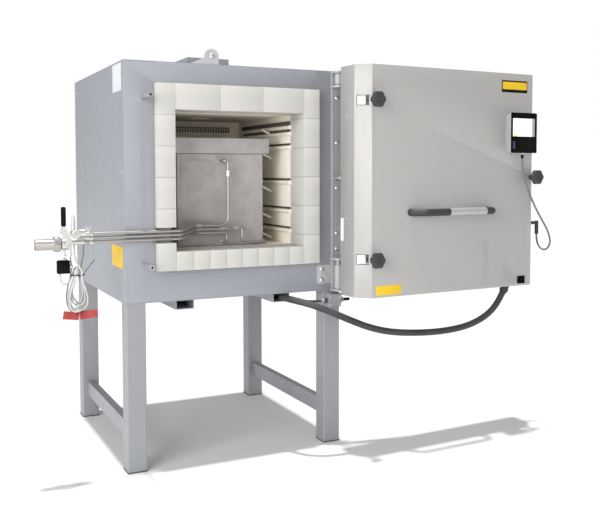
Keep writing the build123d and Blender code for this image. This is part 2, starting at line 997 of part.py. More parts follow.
bar_depth = handle_radius - handle_reach
with BuildPart() as handle_ends:
    pipe(
        (
            on_door(handle_left, 0, handle_height),
            on_door(handle_left, bar_depth / 3, handle_height),
            on_door(handle_left + 40, bar_depth, handle_height),
            on_door(grip_left, bar_depth, handle_height),
        ),
        handle_radius,
        16,
    )
    pipe(
        (
            on_door(handle_right - handle_radius, 0, handle_height),
            on_door(handle_right - handle_radius, bar_depth, handle_height),
            on_door(grip_right, bar_depth, handle_height),
        ),
        handle_radius,
        18,
    )
write(handle_ends, "handle_ends")

with BuildPart() as handle_grip:
    rod(door_side(grip_left), (bar_depth, handle_height), grip_radius, grip_right - grip_left)
write(handle_grip, "handle_grip")

knob_places = (
    ("upper_left_knob", 0, lug_heights[1]),
    ("lower_left_knob", 0, lug_heights[0]),
    ("right_knob", door_width - right_knob_inset, right_lug_height),
)
for knob_name, knob_u, knob_z in knob_places:
    with BuildPart() as knob:
        with BuildSketch(door_face(knob_thickness - knob_reach)):
            with Locations((knob_u, knob_z)):
                Circle(knob_radius * 0.78)
                with PolarLocations(knob_radius * 0.68, knob_lobes):
                    Circle(knob_radius * 0.32)
        extrude(amount=knob_thickness)
        fillet(knob.faces().sort_by(Axis.Y)[0].edges(), 3)
        rod(door_face(-2), (knob_u, knob_z), knob_radius * 0.4, knob_reach - knob_thickness - 2)
        rod(door_face(stud_depth), (knob_u, knob_z), stud_radius, stud_depth)
        rod(door_face(0), (knob_u, knob_z), stud_radius, 2)
    write(knob, knob_name)

controller_top = controller_bottom + controller_height
screen_left = controller_left + screen_inset
screen_right = screen_left + screen_width
screen_bottom = controller_bottom + screen_lift
middle_height = (controller_bottom + controller_top) / 2
with BuildPart() as controller_housing:
    with BuildSketch(door_face(0)):
        with Locations(((controller_left + controller_right) / 2, middle_height)):
            RectangleRounded(
                controller_right - controller_left - 2 * controller_taper,
                controller_height - controller_taper,
                controller_corner,
            )
    with BuildSketch(door_face(fascia_thickness - controller_reach)):
        with Locations(((controller_left + controller_right) / 2, middle_height)):
            RectangleRounded(controller_right - controller_left, controller_height, controller_corner)
    loft()
    rod(
        door_level(controller_bottom - relief_length),
        (relief_u, relief_depth),
        relief_radius,
        relief_length + controller_taper,
    )
write(controller_housing, "controller_housing")

with BuildPart() as controller_fascia:
    with BuildSketch(door_face(fascia_thickness - controller_reach)):
        with Locations(((controller_left + controller_right) / 2, middle_height)):
            RectangleRounded(controller_right - controller_left, controller_height, controller_corner)
    extrude(amount=fascia_thickness)
    block(
        door_face(screen_thickness - controller_reach),
        (screen_left, screen_right),
        (screen_bottom, screen_bottom + screen_height),
        screen_thickness,
        Mode.SUBTRACT,
    )
write(controller_fascia, "controller_fascia")

with BuildPart() as controller_screen:
    block(
        door_face(screen_thickness - controller_reach),
        (screen_left, screen_right),
        (screen_bottom, screen_bottom + screen_height),
        screen_thickness,
    )
write(controller_screen, "controller_screen")

switch_right = switch_left + switch_width
switch_top = switch_bottom + switch_height
with BuildPart() as switch_bezel:
    block(door_face(0), (switch_left, switch_right), (switch_bottom, switch_top), 3)
    block(
        door_face(20),
        (switch_left + switch_rim, switch_right - switch_rim),
        (switch_bottom + switch_rim, switch_top - switch_rim),
        20,
    )
    block(
        door_face(14),
        (switch_left + 2 * switch_rim, switch_right - 2 * switch_rim),
        (switch_bottom + 2 * switch_rim, switch_top - 2 * switch_rim),
        17,
        Mode.SUBTRACT,
    )
write(switch_bezel, "switch_bezel")

rocker_middle = ((switch_left + switch_right) / 2, (switch_bottom + switch_top) / 2)
rocker_width = switch_width - 4 * switch_rim - 2 * rocker_gap
rocker_half = (switch_height - 4 * switch_rim) / 2 - rocker_gap
with BuildPart() as switch_rocker:
    with BuildSketch(door_side(rocker_middle[0] - rocker_width / 2)):
        with BuildLine():
            Polyline(
                (6, rocker_middle[1] - rocker_half * 0.7),
                (6, rocker_middle[1] + rocker_half * 0.7),
                (-1, rocker_middle[1] + rocker_half),
                (-2.5, rocker_middle[1]),
                (-6, rocker_middle[1] - rocker_half),
                close=True,
            )
        make_face()
    extrude(amount=rocker_width)
write(switch_rocker, "switch_rocker")

gland_top = on_door(gland_u, gland_depth, door_bottom - gland_nut)
gland_way = Vector(-sin(radians(gland_tilt)), 0, -cos(radians(gland_tilt)))
gland_end = Vector(*gland_top) + gland_way * gland_sleeve
with BuildPart() as door_glands:
    with BuildSketch(door_level(door_bottom)):
        with Locations((gland_u, gland_depth)):
            RegularPolygon(gland_radius, 6)
    extrude(amount=-gland_nut)
    with BuildSketch(Plane(origin=gland_end, z_dir=-gland_way)):
        Circle(conduit_radius + 2)
    extrude(amount=gland_sleeve + gland_nut / 2)
    rod(door_side(outer_right), (socket_depth, socket_height), socket_radius - 1, socket_reach)
    rod(
        door_level(socket_height - socket_length),
        (outer_right + socket_reach, socket_depth),
        socket_radius,
        socket_length + socket_radius,
    )
write(door_glands, "door_glands")

# ---- door switch on the right front leg ----
leg_front = -leg_y - leg_size / 2
limit_right = limit_left + limit_width
plunger_y = leg_front - limit_depth / 2
with BuildPart() as limit_switch:
    block(
        front(leg_front),
        (limit_left, limit_right),
        (limit_bottom, limit_bottom + limit_height),
        limit_depth,
    )
    fillet(limit_switch.edges().filter_by(Axis.Z), 3)
    block(
        front(leg_front),
        (limit_left - 4, limit_right + 4),
        (limit_bottom + limit_height, limit_bottom + limit_height + limit_top),
        limit_depth + 4,
    )
    rod(side(limit_right), (plunger_y, plunger_height), plunger_radius + 5, 14)
    rod(side(limit_right + 14), (plunger_y, plunger_height), plunger_radius + 1, -24, Mode.SUBTRACT)
    rod(side(limit_left), (plunger_y, plunger_height), limit_gland_radius, -limit_gland_length)
write(limit_switch, "limit_switch")

with BuildPart() as switch_plunger:
    rod(side(limit_right), (plunger_y, plunger_height), plunger_radius, plunger_reach)
write(switch_plunger, "switch_plunger")

# ---- damper ----
with BuildPart() as damper:
    rod(
        front(exhaust_y),
        (exhaust_x, shaft_height),
        damper_shaft_radius,
        half_exhaust + 30,
    )
    rod(
        front(exhaust_y - half_exhaust - 12),
        (exhaust_x, shaft_height),
        damper_boss_radius,
        18,
    )
    with BuildSketch(level(shaft_height - 1.5)):
        with Locations((exhaust_x, exhaust_y)):
            Circle(flue_radius - 12)
    extrude(amount=3)
write(damper, "damper")

# ---- annealing box ----
box_right = box_left + box_width
box_rear = box_front + box_depth
box_floor = chamber_floor + box_floor_gap
trough_left = box_left - trough_width
trough_right = box_right + trough_width
with BuildPart() as box_body:
    block(level(box_floor), (box_left, box_right), (box_front, box_rear), box_top - box_floor)
    block(
        level(box_floor + box_sheet),
        (box_left + box_sheet, box_right - box_sheet),
        (box_front + box_sheet, box_rear - box_sheet),
        box_top - box_floor,
        Mode.SUBTRACT,
    )
    for span in (
        ((trough_left, box_left), (box_front, box_rear)),
        ((box_right, trough_right), (box_front, box_rear)),
    ):
        block(level(trough_bottom), span[0], span[1], box_sheet)
    block(
        level(trough_bottom),
        (trough_left, trough_left + box_sheet),
        (box_front, box_rear),
        trough_height,
    )
    block(
        level(trough_bottom),
        (trough_right - box_sheet, trough_right),
        (box_front, box_rear),
        trough_height,
    )
    for left, right, bottom, top in (large_pad, small_pad):
        with BuildSketch(front(box_front)):
            with Locations(((left + right) / 2, stand_height + (bottom + top) / 2)):
                RectangleRounded(right - left, top - bottom, min(pad_corner, (top - bottom) / 3))
        extrude(amount=pad_depth)
    rod(front(box_front), (upper_boss_x, upper_boss_z), boss_radius, boss_length)
    for place in ((drop_x, floor_run_z), (floor_run_x, floor_run_z), (plug_boss_x, plug_boss_z)):
        rod(front(box_front), place, small_boss_radius, boss_length)
write(box_body, "box_body")

lid_bottom = box_top + lid_clearance
lid_left = trough_left - lid_clearance - box_sheet
lid_right = trough_right + lid_clearance + box_sheet
lid_front = box_front - lid_clearance - box_sheet
lid_rear = box_rear + lid_clearance + box_sheet
with BuildPart() as box_lid:
    block(
        level(lid_bottom - lid_skirt),
        (lid_left, lid_right),
        (lid_front, lid_rear),
        lid_skirt + lid_thickness,
    )
    block(
        level(lid_bottom - lid_skirt),
        (lid_left + box_sheet, lid_right - box_sheet),
        (lid_front + box_sheet, lid_rear - box_sheet),
        lid_skirt,
        Mode.SUBTRACT,
    )
    chamfer(box_lid.faces().sort_by(Axis.Z)[-1].edges(), box_sheet / 2)
write(box_lid, "box_lid")

boss_face = box_front - boss_length
lower_tube, middle_tube, upper_tube = gas_tube_heights
turn_x = -half_chamber + gas_tube_bend
turn_end_x = turn_x + turn_length
with BuildPart() as gas_tubes:
    pipe(
        (
            (upper_boss_x, boss_face, upper_boss_z),
            (upper_boss_x, inner_tube_y, upper_boss_z),
            (riser_x, inner_tube_y, upper_boss_z),
            (riser_x, inner_tube_y, upper_tube + inner_tube_rise),
            (turn_end_x, inner_tube_y, upper_tube + inner_tube_rise),
            (turn_x, gas_tube_y, upper_tube),
            (tube_end_x, gas_tube_y, upper_tube),
        ),
        gas_tube_radius,
        [tight_bend, tight_bend, riser_bend, gas_tube_bend, gas_tube_bend],
    )
    pipe(
        (
            (far_tube_x, inner_tube_y, middle_tube + inner_tube_rise),
            (turn_end_x, inner_tube_y, middle_tube + inner_tube_rise),
            (turn_x, gas_tube_y, middle_tube),
            (tube_end_x, gas_tube_y, middle_tube),
        ),
        gas_tube_radius,
        gas_tube_bend,
    )
    with Locations((far_tube_x, inner_tube_y, middle_tube + inner_tube_rise)):
        Sphere(gas_tube_radius)
    pipe(
        (
            (far_tube_x - branch_setback, inner_tube_y, middle_tube + inner_tube_rise),
            (far_tube_x - branch_setback, inner_tube_y, floor_run_z),
            (floor_run_x, inner_tube_y, floor_run_z),
            (floor_run_x, boss_face, floor_run_z),
        ),
        branch_radius,
        [gas_tube_bend, 2 * tight_bend],
    )
    pipe(
        (
            (drop_x, boss_face, floor_run_z),
            (drop_x, inner_tube_y, floor_run_z),
            (drop_x, inner_tube_y, lower_tube + inner_tube_rise),
            (turn_end_x, inner_tube_y, lower_tube + inner_tube_rise),
            (turn_x, gas_tube_y, lower_tube),
            (tube_end_x, gas_tube_y, lower_tube),
        ),
        gas_tube_radius,
        [2 * tight_bend, 2 * tight_bend, gas_tube_bend, gas_tube_bend],
    )
write(gas_tubes, "gas_tubes")

# ---- fittings outside the furnace ----
fitting_z = upper_tube + fitting_lift
fitting_top = fitting_z + round_fitting_radius
sleeve = gas_tube_radius + ferrule_wall
tap_foot = upper_tube + sleeve + running_gap
with BuildPart() as round_fitting:
    rod(
        front(gas_tube_y + round_fitting_depth / 2),
        (round_fitting_x, fitting_z),
        round_fitting_radius,
        round_fitting_depth,
    )
    fillet(round_fitting.edges().filter_by(GeomType.CIRCLE), 3)
    rod(
        front(gas_tube_y - round_fitting_depth / 2),
        (round_fitting_x, fitting_z),
        round_fitting_hole,
        -round_fitting_depth / 2,
        Mode.SUBTRACT,
    )
    rod(
        side(round_fitting_x + round_fitting_hole + 1),
        (gas_tube_y, fitting_z + fitting_lift),
        fitting_body_radius,
        tube_end_x - round_fitting_x - round_fitting_hole - 1,
    )
    rod(level(fitting_z + round_fitting_hole + 2), (stem_x, gas_tube_y), stem_radius + 2, stem_collar)
    rod(level(fitting_top), (stem_x, gas_tube_y), stem_radius, stem_top - fitting_top)
    for height in (upper_tube, middle_tube):
        with BuildSketch(side(tube_end_x)):
            with Locations((gas_tube_y, height)):
                Circle(sleeve)
                Circle(gas_tube_radius + running_gap, mode=Mode.SUBTRACT)
        extrude(amount=ferrule_length)
write(round_fitting, "round_fitting")

with BuildPart() as ball_valve:
    with BuildSketch(front(gas_tube_y)):
        with BuildLine():
            Polyline(
                (valve_left, valve_axis),
                (valve_left, valve_axis + valve_radius - valve_chamfer),
                (valve_left + valve_chamfer, valve_axis + valve_radius),
                (valve_right - valve_chamfer, valve_axis + valve_radius),
                (valve_right, valve_axis + valve_radius - valve_chamfer),
                (valve_right, valve_axis),
                close=True,
            )
        make_face()
    revolve(axis=Axis((0, gas_tube_y, valve_axis), (1, 0, 0)))
    rod(front(gas_tube_y), (valve_turn_x, valve_axis), stem_radius + 4, lever_ahead)
    rod(side(valve_turn_x), (gas_tube_y, lower_tube), outlet_radius, tube_end_x - valve_turn_x)
    for x in drip_x:
        rod(level(drip_bottom), (x, gas_tube_y), drip_radius, valve_axis - drip_bottom)
write(ball_valve, "ball_valve")

with BuildPart() as large_pipe:
    with BuildSketch(side(nut_left)):
        with Locations((gas_tube_y, valve_axis)):
            RegularPolygon(nut_flats / 2, 6, major_radius=False)
    extrude(amount=valve_left - nut_left)
    rod(side(nut_left), (gas_tube_y, valve_axis), pipe_radius, pipe_left - nut_left)
    rod(
        side(pipe_left),
        (gas_tube_y, valve_axis),
        pipe_radius - pipe_wall,
        valve_left - pipe_left,
        Mode.SUBTRACT,
    )
write(large_pipe, "large_pipe")

lever_y = gas_tube_y - lever_ahead
grip_bottom = lever_top - grip_height
with BuildPart() as valve_lever:
    with BuildSketch(front(lever_y)):
        with BuildLine():
            Polyline(
                (valve_turn_x - lever_half, valve_axis - lever_half),
                (valve_turn_x + lever_half, valve_axis - lever_half),
                (valve_turn_x + lever_half, valve_axis + 2 * lever_half),
                (grip_x + lever_half / 2, grip_bottom),
                (grip_x - lever_half / 2, grip_bottom),
                (grip_x - 1.2 * lever_half, valve_axis + 4.3 * lever_half),
                (valve_turn_x - lever_half, valve_axis + 1.6 * lever_half),
                close=True,
            )
        make_face()
    extrude(amount=lever_thickness)
write(valve_lever, "valve_lever")

with BuildPart() as lever_grip:
    with BuildSketch(front(lever_y)):
        with Locations((grip_x, grip_bottom + grip_height / 2)):
            RectangleRounded(grip_width, grip_height, grip_width / 3)
    extrude(amount=grip_thickness)
write(lever_grip, "lever_grip")

with BuildPart() as tap_wing:
    with BuildSketch(front(gas_tube_y + wing_thickness / 2)):
        with BuildLine():
            Polyline(
                (tap_x - wing_root, tap_foot),
                (tap_x + wing_root, tap_foot),
                (tap_x + wing_reach, tap_top),
                (tap_x + wing_reach - wing_thickness, tap_top),
                (tap_x, tap_foot + wing_reach),
                (tap_x - wing_reach + wing_thickness, tap_top),
                (tap_x - wing_reach, tap_top),
                close=True,
            )
        make_face()
    extrude(amount=wing_thickness)
write(tap_wing, "tap_wing")

plug_bottom = plug_top - plug_length
plug_middle_z = plug_top - plug_length / 2
with BuildPart() as sensor_plug:
    block(
        front(gas_tube_y + plug_thickness / 2),
        (plug_x - plug_width / 2, plug_x + plug_width / 2),
        (plug_bottom, plug_top),
        plug_thickness,
    )
    fillet(sensor_plug.edges().filter_by(Axis.Y), plug_corner)
    block(
        front(gas_tube_y + plug_corner),
        (plug_x - plug_cap_width / 2, plug_x + plug_cap_width / 2),
        (plug_top, plug_top + plug_cap_height),
        2 * plug_corner,
    )
    rod(side(plug_x), (gas_tube_y, plug_middle_z), coupling_radius, plug_width / 2 + coupling_length)
write(sensor_plug, "sensor_plug")

hank_span = hank_top - hank_bottom
with BuildPart() as cable_hank:
    with BuildSketch(front(gas_tube_y + hank_thickness / 2)):
        with BuildLine():
            Polyline(
                (hank_x - hank_neck / 2, hank_top),
                (hank_x + hank_neck / 2, hank_top),
                (hank_x + hank_neck / 2, hank_tie),
                (hank_x + hank_width / 2, hank_top - 0.6 * hank_span),
                (hank_x + hank_width / 2, hank_top - 0.77 * hank_span),
                (hank_x + 0.2 * hank_width, hank_bottom + 0.04 * hank_span),
                (hank_x - 0.28 * hank_width, hank_bottom),
                (hank_x - hank_width / 2, hank_bottom + 0.14 * hank_span),
                (hank_x - hank_width / 2, hank_top - 0.63 * hank_span),
                (hank_x - hank_neck / 2, hank_tie),
                close=True,
            )
        make_face()
    extrude(amount=hank_thickness)
write(cable_hank, "cable_hank")

with BuildPart() as sensor_cable:
    cord(
        "far lead",
        (
            (far_lead_x, gas_tube_y, lower_tube - outlet_radius - running_gap),
            (far_lead_x, gas_tube_y, lower_tube - outlet_radius - lead_drop),
            (hank_x + hank_neck / 4, gas_tube_y, hank_top + sensor_cable_radius / 2),
        ),
        sensor_cable_radius,
    )
    cord(
        "near lead",
        (
            (near_lead_x, gas_tube_y, lower_tube - outlet_radius - running_gap),
            (near_lead_x, gas_tube_y, lower_tube - outlet_radius - lead_drop),
            (hank_x - hank_neck / 4, gas_tube_y, hank_top + sensor_cable_radius / 2),
        ),
        sensor_cable_radius,
    )
    cord(
        "plug loop",
        (
            (plug_x - plug_loop, gas_tube_y, plug_bottom),
            (plug_x - plug_loop, gas_tube_y, plug_bottom - 2.4 * plug_loop),
            (plug_x + 0.2 * plug_loop, gas_tube_y, plug_bottom - 4.4 * plug_loop),
            (hank_x - hank_width / 2 + 2, gas_tube_y, plug_bottom - 5 * plug_loop),
        ),
        sensor_cable_radius,
    )
write(sensor_cable, "sensor_cable")

# ---- conduits ----
gland_x, gland_y, gland_z = tuple(gland_end)
socket_u = outer_right + socket_reach
nut_bottom = socket_height - socket_length
gland_back = tuple(gland_end + gland_way * conduit_lead)
with BuildPart() as main_conduit:
    cord(
        "main_conduit",
        (
            (right_channel_x, front_y + channel_setback, channel_z),
            (right_channel_x, -424, channel_z),
            (205, -478, channel_z - 2),
            (236, -526, channel_z - 10),
            (280, -558, channel_z - 27),
            (336, -572, channel_z - 52),
            (402, -573, channel_z - 82),
            (480, -571, channel_z - 114),
            (572, -568, channel_z - 139),
            (692, -565, channel_z - 154),
            (831, -564, channel_z - 159),
            (955, -564, channel_z - 147),
            (1050, -564, channel_z - 112),
            gland_back,
            (gland_x, gland_y, gland_z),
        ),
        conduit_radius,
    )
write(main_conduit, "main_conduit")

with BuildPart() as controller_cable:
    cord(
        "controller_cable",
        (
            on_door(relief_u, relief_depth, controller_bottom - relief_length),
            on_door(relief_u, relief_depth, controller_bottom - 41),
            on_door(relief_u + 9, relief_depth, controller_bottom - 86),
            on_door(relief_u + 29, relief_depth, controller_bottom - 141),
            on_door(relief_u + 60, relief_depth, controller_bottom - 199),
            on_door(relief_u + 96, relief_depth, controller_bottom - 253),
            on_door(relief_u + 131, relief_depth, controller_bottom - 299),
            on_door(socket_u - 18, relief_depth, nut_bottom + 6),
            on_door(socket_u - 8, relief_depth + 2, nut_bottom - 34),
            on_door(socket_u - 3, relief_depth + 28, nut_bottom - 60),
            on_door(socket_u, socket_depth - 26, nut_bottom - 60),
            on_door(socket_u, socket_depth, nut_bottom - 34),
            on_door(socket_u, socket_depth, nut_bottom),
        ),
        controller_cable_radius,
    )
write(controller_cable, "controller_cable")

channel_side = right_channel_x + channel_width / 2
with BuildPart() as switch_conduit:
    cord(
        "switch_conduit",
        (
            (limit_left - limit_gland_length, plunger_y, plunger_height),
            (304, plunger_y, plunger_height),
            (279, plunger_y + 11.5, plunger_height + 1),
            (259, plunger_y + 33.5, plunger_height + 4),
            (243, plunger_y + 60.5, plunger_height + 8),
            (channel_side + switch_conduit_radius, plunger_y + 82, plunger_height + 12),
        ),
        switch_conduit_radius,
    )
write(switch_conduit, "switch_conduit")

print("hinge", round(hinge_x, 2), round(hinge_y, 2), "arm", round(arm_length, 2))
print("pivot", round(pivot_x, 3), round(pivot_y, 3), "door", round(door_x, 2), round(door_y, 2))
print("arm travel", round(arm_closed_angle - arm_open_angle, 3), "door yaw", door_open_yaw)
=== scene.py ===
"""Dressed muffle furnace: stand, brick-lined chamber, swing door, annealing box and fittings.

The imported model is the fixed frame. Every size here is in metres, X runs to the right,
Y to the rear and Z up, from the middle of the four feet.
"""

import logging
from contextlib import contextmanager
from dataclasses import dataclass
from enum import Enum
from math import atan2, cos, pi, radians, sin
from typing import Iterable, Iterator, Sequence

import bpy
from mathutils import Matrix, Vector


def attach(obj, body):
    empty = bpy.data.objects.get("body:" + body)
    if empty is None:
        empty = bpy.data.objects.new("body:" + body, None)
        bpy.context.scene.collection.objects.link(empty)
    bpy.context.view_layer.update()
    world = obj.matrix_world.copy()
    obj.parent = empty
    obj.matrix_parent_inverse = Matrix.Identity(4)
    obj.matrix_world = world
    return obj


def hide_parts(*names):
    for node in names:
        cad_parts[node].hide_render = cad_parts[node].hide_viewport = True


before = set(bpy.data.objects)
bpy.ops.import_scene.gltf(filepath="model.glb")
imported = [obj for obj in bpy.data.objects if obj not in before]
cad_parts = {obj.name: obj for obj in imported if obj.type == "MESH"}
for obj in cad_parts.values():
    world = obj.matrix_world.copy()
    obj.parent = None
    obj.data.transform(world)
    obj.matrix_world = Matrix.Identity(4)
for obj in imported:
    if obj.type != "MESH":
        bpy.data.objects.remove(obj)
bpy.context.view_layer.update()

logging.basicConfig(level=logging.INFO, format="%(message)s")
log = logging.getLogger("furnace")

Point = tuple[float, float, float]
Tone = tuple[int, int, int]
Pair = tuple[float, float]
Row = tuple[float, ...]
Corners = tuple[Point, Point]
Stations = Sequence[Pair]
Route = tuple[Point, ...]
Piece = bpy.types.Object
Socket = bpy.types.NodeSocket

UPRIGHT = Matrix.Rotation(radians(90), 4, "X")
DOOR = Matrix.Translation((0.4382, -0.65305, 0)) @ Matrix.Rotation(radians(2.4), 4, "Z")

CLOUD_SCALE = 14
GLOSS_DRIFT = 0.06
BLACK_LIMIT = 30
BLACK_GLOSS = 0.05
SHARP_EDGE = 35
WELD = 0.00002


# ---- finishes ----
def linear(tone: Tone) -> tuple[float, float, float, float]:
    """Turn a display tone into the linear colour that a shader takes.

    Args:
        tone: Red, green and blue from 0 to 255.

    Returns:
        The colour with full opacity.
    """
    red, green, blue = (((part / 255 + 0.055) / 1.055) ** 2.4 for part in tone)
    return (red, green, blue, 1.0)


def lighter(tone: Tone, share: float) -> Tone:
    """Return the tone moved towards white by a share, or towards black if it is negative."""
    goal = 255 if share > 0 else 0
    red, green, blue = (round(part + (goal - part) * abs(share)) for part in tone)
    return (red, green, blue)


class Shading:
    """Node tree of one material, with short ways to add and join its nodes."""

    def __init__(self, name: str) -> None:
        """Start a material whose only surface is a Principled shader."""
        self.material = bpy.data.materials.new(name)
        self.material.use_nodes = True
        self.tree = self.material.node_tree
        self.shader = self.tree.nodes["Principled BSDF"]

    def add(self, kind: str, **values: object) -> bpy.types.Node:
        """Add a node.

        Args:
            kind: The node's type.
            **values: Socket names, with underscores for spaces, and their values.

        Returns:
            The node.
        """
        node = self.tree.nodes.new(kind)
        for name, value in values.items():
            node.inputs[name.replace("_", " ")].default_value = value
        return node

    def join(self, source: Socket, goal: Socket) -> None:
        """Link one socket to another."""
        self.tree.links.new(source, goal)

    def feed(self, goal: str, source: Socket) -> None:
        """Link a socket to one of the shader's own inputs."""
        self.join(source, self.shader.inputs[goal])

    def fix(self, **values: object) -> None:
        """Set constant values on the shader's own sockets."""
        for name, value in values.items():
            self.shader.inputs[name.replace("_", " ")].default_value = value

    def place(self, stretch: Point = (1, 1, 1)) -> Socket:
        """Return object coordinates multiplied along each axis."""
        coordinates = self.add("ShaderNodeTexCoord")
        mapping = self.add("ShaderNodeMapping", Scale=stretch)
        self.join(coordinates.outputs["Object"], mapping.inputs["Vector"])
        return mapping.outputs["Vector"]

    def noise(self, scale: float, detail: float, stretch: Point = (1, 1, 1)) -> Socket:
        """Return the strength of a cloudy pattern.

        Args:
            scale: Features to a metre.
            detail: Octaves of finer pattern.
            stretch: Factor along each axis; a small one draws the pattern out.

        Returns:
            A value from 0 to 1.
        """
        node = self.add("ShaderNodeTexNoise", Scale=scale, Detail=detail)
        self.join(self.place(stretch), node.inputs["Vector"])
        return node.outputs["Fac"]

    def cells(self, scale: float) -> Socket:
        """Return the distance to the nearest of many scattered points."""
        node = self.add("ShaderNodeTexVoronoi", Scale=scale)
        self.join(self.place(), node.inputs["Vector"])
        return node.outputs["Distance"]

    def stops(self, value: Socket, *stops: tuple[float, Tone]) -> Socket:
        """Turn a value into a colour by a row of stops."""
        ramp = self.add("ShaderNodeValToRGB")
        self.join(value, ramp.inputs["Fac"])
        elements = ramp.color_ramp.elements
        while len(elements) < len(stops):
            elements.new(0.5)
        for element, (position, tone) in zip(elements, stops):
            element.position = position
            element.color = linear(tone)
        return ramp.outputs["Color"]

    def levels(self, value: Socket, low: float, high: float) -> Socket:
        """Return the middle of a value's range spread from low to high."""
        spread = self.add("ShaderNodeMapRange", From_Min=0.3, From_Max=0.7, To_Min=low, To_Max=high)
        self.join(value, spread.inputs["Value"])
        return spread.outputs["Result"]

    def blend(self, share: Socket, first: Socket, second: Socket) -> Socket:
        """Return a colour that goes from the first to the second as the share rises."""
        mix = self.tree.nodes.new("ShaderNodeMix")
        mix.data_type = "RGBA"
        self.join(share, mix.inputs["Factor"])
        self.join(first, mix.inputs[6])
        self.join(second, mix.inputs[7])
        return mix.outputs[2]

    def relief(self, *layers: tuple[Socket, float]) -> None:
        """Give the surface a bump of several heights.

        Args:
            *layers: Each layer's height from 0 to 1, and its depth in metres.
        """
        last = None
        for height, depth in layers:
            bump = self.add("ShaderNodeBump", Strength=1.0, Distance=depth)
            self.join(height, bump.inputs["Height"])
            if last:
                self.join(last.outputs["Normal"], bump.inputs["Normal"])
            last = bump
        self.feed("Normal", last.outputs["Normal"])


@dataclass(frozen=True)
class Finish:
    """Look of one material: a mottled tone over a fine grain.

    Args:
        name: The material's name.
        slot: The record's slot that it belongs to; not used.
        tone: Its display tone under white light.
        roughness: From 0, mirror, to 1, chalk.
        metallic: 1 for bare metal.
        variation: Share by which the tone drifts.
        grain: Features of the grain to a metre.
        depth: Height of the grain in metres.
        stretch: Factor along each axis for the grain.
    """

    name: str
    slot: str
    tone: Tone
    roughness: float = 0.5
    metallic: float = 0.0
    variation: float = 0.05
    grain: float = 700
    depth: float = 0.0001
    stretch: Point = (1, 1, 1)

    def material(self) -> bpy.types.Material:
        """Return the finish's material, made the first time it is asked for."""
        found = bpy.data.materials.get(self.name)
        if found:
            return found
        shading = Shading(self.name)
        shading.fix(Metallic=self.metallic)
        self.surface(shading)
        shading.material.diffuse_color = linear(self.tone)
        return shading.material

    def tones(self, shading: Shading) -> Socket:
        """Return the tone, drifting in clouds a few centimetres across."""
        return shading.stops(
            shading.noise(CLOUD_SCALE, 5),
            (0.3, lighter(self.tone, -self.variation)),
            (0.7, lighter(self.tone, self.variation)),
        )

    def surface(self, shading: Shading) -> None:
        """Join the tone, the gloss and the grain to the shader."""
        grain = shading.noise(self.grain, 3, self.stretch)
        shading.feed("Base Color", self.tones(shading))
        gloss = shading.levels(grain, self.roughness - GLOSS_DRIFT, self.roughness + GLOSS_DRIFT)
        shading.feed("Roughness", gloss)
        if max(self.tone) < BLACK_LIMIT:
            shading.fix(Specular_IOR_Level=BLACK_GLOSS)
        shading.relief((grain, self.depth))


@dataclass(frozen=True)
class PowderCoat(Finish):
    """Baked paint with a fine orange-peel skin and a cloudy, soft gloss."""

    def surface(self, shading: Shading) -> None:
        """Join the paint's tone, its skin and its soft gloss."""
        skin = shading.noise(520, 2)
        shading.feed("Base Color", self.tones(shading))
        gloss = shading.levels(shading.noise(35, 6), self.roughness - 0.07, self.roughness + 0.08)
        shading.feed("Roughness", gloss)
        shading.fix(Coat_Weight=0.12, Coat_Roughness=0.3)
        shading.relief((skin, self.depth), (shading.noise(9, 2), self.depth * 4))


@dataclass(frozen=True)
class RolledSteel(Finish):
    """Bare sheet whose rolling lines run along one axis, with faint handling marks."""

    def surface(self, shading: Shading) -> None:
        """Join the rolling lines to the tone, the gloss and the relief."""
        lines = shading.noise(self.grain, 6, self.stretch)
        marks = shading.noise(6, 7)
        lined = shading.stops(
            lines,
            (0.25, lighter(self.tone, -self.variation)),
            (0.75, lighter(self.tone, self.variation)),
        )
        marked = shading.stops(
            marks, (0.35, lighter(self.tone, -self.variation * 1.3)), (0.6, self.tone)
        )
        half = shading.levels(marks, 0.15, 0.5)
        shading.feed("Base Color", shading.blend(half, lined, marked))
        gloss = shading.levels(lines, self.roughness - 0.08, self.roughness + 0.1)
        shading.feed("Roughness", gloss)
        shading.relief((lines, self.depth))


@dataclass(frozen=True)
class Refractory(Finish):
    """Light firebrick or fibre: chalky, cloudy and full of fine pores."""

    pores: float = 420
    soot: Tone = (184, 179, 168)

    def surface(self, shading: Shading) -> None:
        """Join the clouds, the pores and the crumbly skin."""
        pits = shading.cells(self.pores)
        clouds = shading.noise(11, 7)
        clean = shading.stops(
            pits,
            (0.05, lighter(self.tone, -0.05)),
            (0.3, self.tone),
            (0.8, lighter(self.tone, 0.07)),
        )
        warm = shading.stops(clouds, (0.3, self.soot), (0.62, self.tone))
        share = shading.levels(shading.noise(5, 4), 0.04, self.variation * 4)
        shading.feed("Base Color", shading.blend(share, clean, warm))
        shading.fix(Roughness=self.roughness)
        shading.relief((pits, self.depth), (shading.noise(160, 8), self.depth * 2.5))


